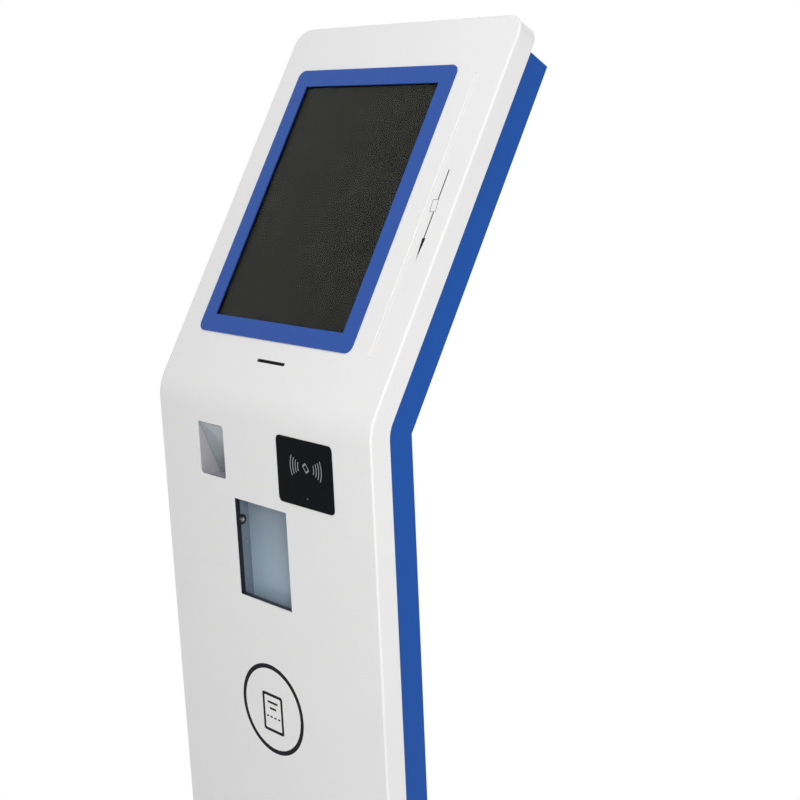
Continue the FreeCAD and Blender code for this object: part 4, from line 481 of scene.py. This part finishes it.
READER_PROUD = 1.0
WAVE_MIDDLE = (98.6, -69.8)
WAVE_RADII = (31.0, 26.0, 21.0, 16.0)
WAVE_HALF_ANGLES = (26.0, 25.0, 24.0, 22.0)
WAVE_LINE = 1.3
WAVE_POINTS = 13
waves = []
for radius, half in zip(WAVE_RADII, WAVE_HALF_ANGLES):
    for facing in (0, 180):
        points = arc_points(WAVE_MIDDLE, radius, facing - half, facing + half, WAVE_POINTS)
        waves.append(line_outline(points, WAVE_LINE))
print_ink("reader_wave_print", LOWER_FACE, READER_PROUD, waves, grey_ink)

READER_CARD_OUTER = (7.6, 12.4, 1.2)
READER_CARD_INNER = (5.4, 8.2, 0.6)
READER_CARD_TILT = 38
reader_card = [rounded_outline(WAVE_MIDDLE, *shape, READER_CARD_TILT)
               for shape in (READER_CARD_OUTER, READER_CARD_INNER)]
print_ink("reader_card_print", LOWER_FACE, READER_PROUD, reader_card, grey_ink)

lens = new_finish("smoked_indicator_lens", {"IOR": 1.49, "Roughness": 0.2})
vary_colour(lens, "#5E6266", "#6A6E72", 3)
INDICATOR = (99.1, -110.8)
INDICATOR_RADIUS = 1.1
INDICATOR_POINTS = 24
print_ink("reader_indicator", LOWER_FACE, READER_PROUD,
          [circle_points(INDICATOR, INDICATOR_RADIUS, INDICATOR_POINTS)], lens)


# Scanner niche: lilac-grey painted sheet with a sloping tinted pane, behind which the code reader
# looks down and out. The cheeks are paler than the pane, and the slot before its floor is dark.
grey_paint = powder_coat("grey_painted_sheet", "#B1AFB6", "#AAA8AF", 0.55)
dress(grey_paint, "scanner_niche")

pane = new_finish("tinted_scanner_glass", {"IOR": 1.52, "Transmission Weight": 0.1})
vary_colour(pane, "#ABB3BB", "#A4ACB4", 40)
vary_gloss(pane, 0.06, 0.1, 40)
dress(pane, "scanner_pane")
dress(black_abs, "scanner_engine")


# Ticket port: a black ABS collar round the cut-out, a housing of thin steel with a smooth blue
# grey enamel, and the flap that hangs from a steel pin and swings in. The flap's enamel is glossy and
# mirrors the room softly; its colour is also painted darker towards the top and paler towards the
# foot, painted shade above and a painted reflection of the room below.
port_black = moulded_plastic("black_collar_abs", "#0D0F16", "#11131A", 0.45)
dress(port_black, "port_collar")

enamel = new_finish("blue_grey_enamel", {"IOR": 1.52})
vary_colour(enamel, "#6F7C8A", "#687583", 90)
vary_gloss(enamel, 0.22, 0.3, 60)
dress(enamel, "port_housing")

flap_coat = new_finish("glossy_flap_enamel_painted_light", {"IOR": 1.52, "Specular IOR Level": 0.2,
                                              "Coat Weight": 0.12, "Coat Roughness": 0.1})
flap_colour = vary_colour(flap_coat, "#A7BACA", "#A0B3C3", 110)
vary_gloss(flap_coat, 0.3, 0.4, 60)
# Painted shade and reflection: the flap's colour is multiplied from 1 at its foot to this at its top.
FLAP_TOP_PAINTED_SHADE = 0.62
flap_low, flap_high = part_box("port_flap")
flap_height = add_node(flap_coat.tree, "SeparateXYZ", {}, {"Vector": (flap_coat.place, "Object")})
flap_painted_shade = add_node(flap_coat.tree, "MapRange", {"From Min": flap_low.z, "From Max": flap_high.z,
                                                   "To Min": 1.0, "To Max": FLAP_TOP_PAINTED_SHADE},
                      {"Value": (flap_height, "Z")})
flap_painted_light = add_node(flap_coat.tree, "MixRGB", {"blend_type": "MULTIPLY", "Fac": 1.0},
                    {"Color1": (flap_colour, "Color"), "Color2": (flap_painted_shade, "Result")})
join(flap_coat, flap_painted_light, "Color", "Base Color")
dress(flap_coat, "port_flap")
dress(nickel, "port_screws")
dress(steel, "flap_pin")


# Thermal printer: a zinc-plated channel with the roll cheeks, a ground rubber platen on a steel
# shaft, and a small motor whose steel pinion turns the platen's acetal gear.
dress(zinc, "printer_frame", "drive_bracket")
dress(steel, "platen_shaft", "motor_pinion", "print_motor")

platen_rubber = rubber("ground_platen_rubber", "#2A2B2E", "#323336", 0.6)
dress(platen_rubber, "platen_roller")

acetal = moulded_plastic("natural_acetal", "#E6E1D2", "#DDD8C8", 0.36, 0.008)
dress(acetal, "platen_gear")


# Head lid, thermal head and cutter. The lid and the cutter guide are moulded black ABS, the head
# is a glazed ceramic strip on an extruded aluminium block, and the blade is ground steel.
dress(black_abs, "head_lid", "cutter_body")

aluminium = plated_metal("extruded_aluminium", "#C3C5C8", "#B6B8BC", 0.3, 0.42, 20)
grain(aluminium, 0.8, 0.006, (0.1, 1.0, 1.0))
dress(aluminium, "print_head")

ground = plated_metal("ground_tool_steel", "#B5B7BA", "#A4A6AA", 0.16, 0.26, 8)
grain(ground, 0.5, 0.004, (1.0, 0.05, 1.0))
dress(ground, "cutter_blade")


# Ticket roll: 80 mm thermal paper wound on a cardboard core, on a removable steel spindle. The
# end faces show the turns as fine rings, drawn 0.9 mm apart because real turns are too thin.
dress(steel, "roll_spindle")

# The wave texture draws its rings this far apart, in its own units, at a scale of 1.
WAVE_REPEAT = math.pi / 10


def wound_sheet(name, colour, line_colour, spacing):
    """Paper or card whose end faces show its turns as rings round the roll's axis."""
    finish = new_finish(name, {"IOR": 1.45, "Roughness": 0.75})
    low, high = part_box("paper_roll")
    centred = add_node(finish.tree, "VectorMath", {"operation": "SUBTRACT"}, {0: (finish.place, "Object")})
    centred.inputs[1].default_value = (low + high) / 2
    rings = add_node(finish.tree, "TexWave", {"wave_type": "RINGS", "rings_direction": "X",
                                              "Scale": WAVE_REPEAT / (spacing * MM)},
                     {"Vector": (centred, "Vector")})
    mix = add_node(finish.tree, "MixRGB", {"Color1": linear(line_colour), "Color2": linear(colour)},
                   {"Fac": (rings, "Fac")})
    join(finish, mix, "Color", "Base Color")
    grain(finish, 0.7, 0.008)
    return finish


dress(wound_sheet("thermal_paper", "#F1F0EC", "#DAD9D4", 0.9), "paper_roll")
dress(wound_sheet("wound_card_tube", "#A98B66", "#97795A", 1.4), "paper_core")


# Electronics in the lower cabinet: a zinc-plated mounting plate, a small computer in a black
# anodised case, an aluminium power supply and a white socket strip.
dress(zinc, "gear_plate")

anodised = new_finish("black_anodised_aluminium", {"Metallic": 0.85})
vary_colour(anodised, "#2A2B2E", "#242528", 25)
vary_gloss(anodised, 0.42, 0.52, 20)
grain(anodised, 0.8, 0.005, (0.1, 1.0, 1.0))
dress(anodised, "computer")
dress(aluminium, "power_button", "power_supply")

strip_plastic = moulded_plastic("white_polycarbonate", "#E9E8E4", "#E2E1DC", 0.35, 0.006)
dress(strip_plastic, "socket_strip")


# Exhaust fan: frame and rotor are moulded from glass-filled black nylon, slightly greyer than the
# ABS and a little rough, because the fibres lie close under the surface.
nylon = moulded_plastic("glass_filled_black_nylon", "#1E1F21", "#252628", 0.55, 0.02)
dress(nylon, "fan_frame", "fan_rotor")


# Mains inlet and rocker switch: the inlet is moulded from the same black nylon and sits in the
# cabinet's back, and its rocker is glossier, because its mould is polished.
dress(nylon, "mains_inlet")
rocker_plastic = moulded_plastic("glossy_black_rocker", "#121214", "#161618", 0.22, 0.004)
dress(rocker_plastic, "rocker_switch")


# Sign printed on the lower front: a plain ring round a ticket, with two bars of print and the
# dashed line where the ticket tears. It is the same black screen ink as the arrow by the swipe slot.
SIGN = (-6.2, -436.3)
RING_RADIUS = 66.6
RING_LINE = 6.6
RING_POINTS = 120
ring = [circle_points(SIGN, radius, RING_POINTS) for radius in (RING_RADIUS, RING_RADIUS - RING_LINE)]

TICKET_WIDTH = 44.0
TICKET_HEIGHT = 58.0
TICKET_DROP = 6.0
TICKET_LINE = 4.4
TICKET_CORNER = 4.0
TICKET_INNER_CORNER = 1.6
ticket_middle = (SIGN[0], SIGN[1] - TICKET_DROP)
ticket = [rounded_outline(ticket_middle, TICKET_WIDTH, TICKET_HEIGHT, TICKET_CORNER),
          rounded_outline(ticket_middle, TICKET_WIDTH - 2 * TICKET_LINE, TICKET_HEIGHT - 2 * TICKET_LINE,
                          TICKET_INNER_CORNER)]


def plain_outline(left, bottom, width, height):
    """A rectangle from its lower left corner."""
    right = left + width
    top = bottom + height
    return [(left, bottom), (right, bottom), (right, top), (left, top)]


DASH_COUNT = 4
DASH_PITCH = 8.4
DASH_LENGTH = 4.8
DASH_LINE = 2.4
DASH_REACH = 15.0
TEAR_SHARE = 2 / 15
tear_height = ticket_middle[1] - TICKET_HEIGHT * TEAR_SHARE
dashes = []
for index in range(DASH_COUNT):
    left = ticket_middle[0] - DASH_REACH + DASH_PITCH * index
    dashes.append(plain_outline(left, tear_height, DASH_LENGTH, DASH_LINE))

BAR_WIDTHS = (22.0, 14.0)
BAR_LINE = 3.2
BAR_PITCH = 9.0
BAR_DROP = 12.0
bars = []
for index, width in enumerate(BAR_WIDTHS):
    bottom = ticket_middle[1] + TICKET_HEIGHT / 2 - BAR_DROP - BAR_PITCH * index - BAR_LINE
    bars.append(plain_outline(ticket_middle[0] - width / 2, bottom, width, BAR_LINE))
print_ink("ticket_sign_print", LOWER_FACE, 0.0, ring + ticket + dashes + bars, ink)


# Floor and background: a plain pale floor that fades to white away from the kiosk, so that its
# shadow stays, and a white world that glass and metal mirror too. Lengths here are in metres.
FLOOR_HALF = 9.0
FADE_START = 0.3
FADE_END = 0.62
WORLD_LIGHT = 0.4


def seen_directly(tree):
    """1 for what the camera sees straight, mirrored or through glass, and 0 for light on the object."""
    path = add_node(tree, "LightPath", {})
    mirrored = add_node(tree, "Math", {"operation": "MAXIMUM"},
                        {0: (path, "Is Camera Ray"), 1: (path, "Is Glossy Ray")})
    return add_node(tree, "Math", {"operation": "MAXIMUM"},
                    {0: (mirrored, "Value"), 1: (path, "Is Transmission Ray")})


floor_paint = new_finish("pale_floor", {"Roughness": 0.8})
vary_colour(floor_paint, "#F4F4F3", "#F1F1F0", 400)
floor_tree = floor_paint.tree
seen = seen_directly(floor_tree)
distance = add_node(floor_tree, "VectorMath", {"operation": "LENGTH"}, {0: (floor_paint.place, "Object")})
fade = add_node(floor_tree, "MapRange", {"interpolation_type": "SMOOTHSTEP", "From Min": FADE_START,
                                         "From Max": FADE_END}, {"Value": (distance, "Value")})
share = add_node(floor_tree, "Math", {"operation": "MULTIPLY"}, {0: (seen, "Value"), 1: (fade, "Result")})
glow = add_node(floor_tree, "Emission", {"Color": (1.0, 1.0, 1.0, 1.0), "Strength": 1.0})
mixed = add_node(floor_tree, "MixShader", {},
                 {"Fac": (share, "Value"), 1: (floor_paint.shader, "BSDF"), 2: (glow, "Emission")})
floor_tree.links.new(mixed.outputs["Shader"], floor_tree.nodes["Material Output"].inputs["Surface"])

floor_mesh = bpy.data.meshes.new("floor")
corners = [(-FLOOR_HALF, -FLOOR_HALF, 0), (FLOOR_HALF, -FLOOR_HALF, 0), (FLOOR_HALF, FLOOR_HALF, 0),
           (-FLOOR_HALF, FLOOR_HALF, 0)]
floor_mesh.from_pydata(corners, [], [(0, 1, 2, 3)])
floor_mesh.materials.append(floor_paint.material)
floor = bpy.data.objects.new("floor", floor_mesh)
bpy.context.scene.collection.objects.link(floor)

world = bpy.data.worlds.new("studio")
world.use_nodes = True
world_tree = world.node_tree
background = world_tree.nodes["Background"]
world_seen = seen_directly(world_tree)
strength = add_node(world_tree, "MapRange", {"To Min": WORLD_LIGHT, "To Max": 1.0},
                    {"Value": (world_seen, "Value")})
background.inputs["Color"].default_value = (1.0, 1.0, 1.0, 1.0)
world_tree.links.new(strength.outputs["Result"], background.inputs["Strength"])
bpy.context.scene.world = world


# Studio light: a bright room, a large overhead softbox, a key beside the camera and one behind
# for the back, all white.
LOOK_AT = Vector((0.0, 0.0, 1.05))


def softbox(name, place, size, power):
    """A round area light of a size in metres and a power in watts, aimed at the kiosk."""
    lamp = bpy.data.lights.new(name, "AREA")
    lamp.shape = "DISK"
    lamp.size = size
    lamp.energy = power
    holder = bpy.data.objects.new(name, lamp)
    holder.location = place
    holder.rotation_euler = (LOOK_AT - Vector(place)).to_track_quat("-Z", "Y").to_euler()
    bpy.context.scene.collection.objects.link(holder)


softbox("overhead_light", (0.4, -1.0, 3.4), 2.4, 22.8)
softbox("key_light", (2.1, -1.5, 1.5), 1.0, 32.6)
softbox("back_light", (-1.2, 3.2, 2.4), 2.0, 30.0)


# Camera: at the photograph's place, 2 m from the kiosk to its right and a little above the
# screen, looking slightly down. The lens gives the same frame on a square picture.
CAMERA_PLACE = Vector((1.50545, -1.29681, 1.28140))
CAMERA_AIM = Vector((-0.7138, 0.6757, -0.1843))
LENS_LENGTH = 65.61
SENSOR_WIDTH = 36.0
camera_data = bpy.data.cameras.new("camera")
camera_data.lens = LENS_LENGTH
camera_data.sensor_width = SENSOR_WIDTH
camera = bpy.data.objects.new("camera", camera_data)
camera.location = CAMERA_PLACE
camera.rotation_euler = CAMERA_AIM.to_track_quat("-Z", "Y").to_euler()
bpy.context.scene.collection.objects.link(camera)
bpy.context.scene.camera = camera
bpy.context.scene.view_settings.view_transform = "Standard"
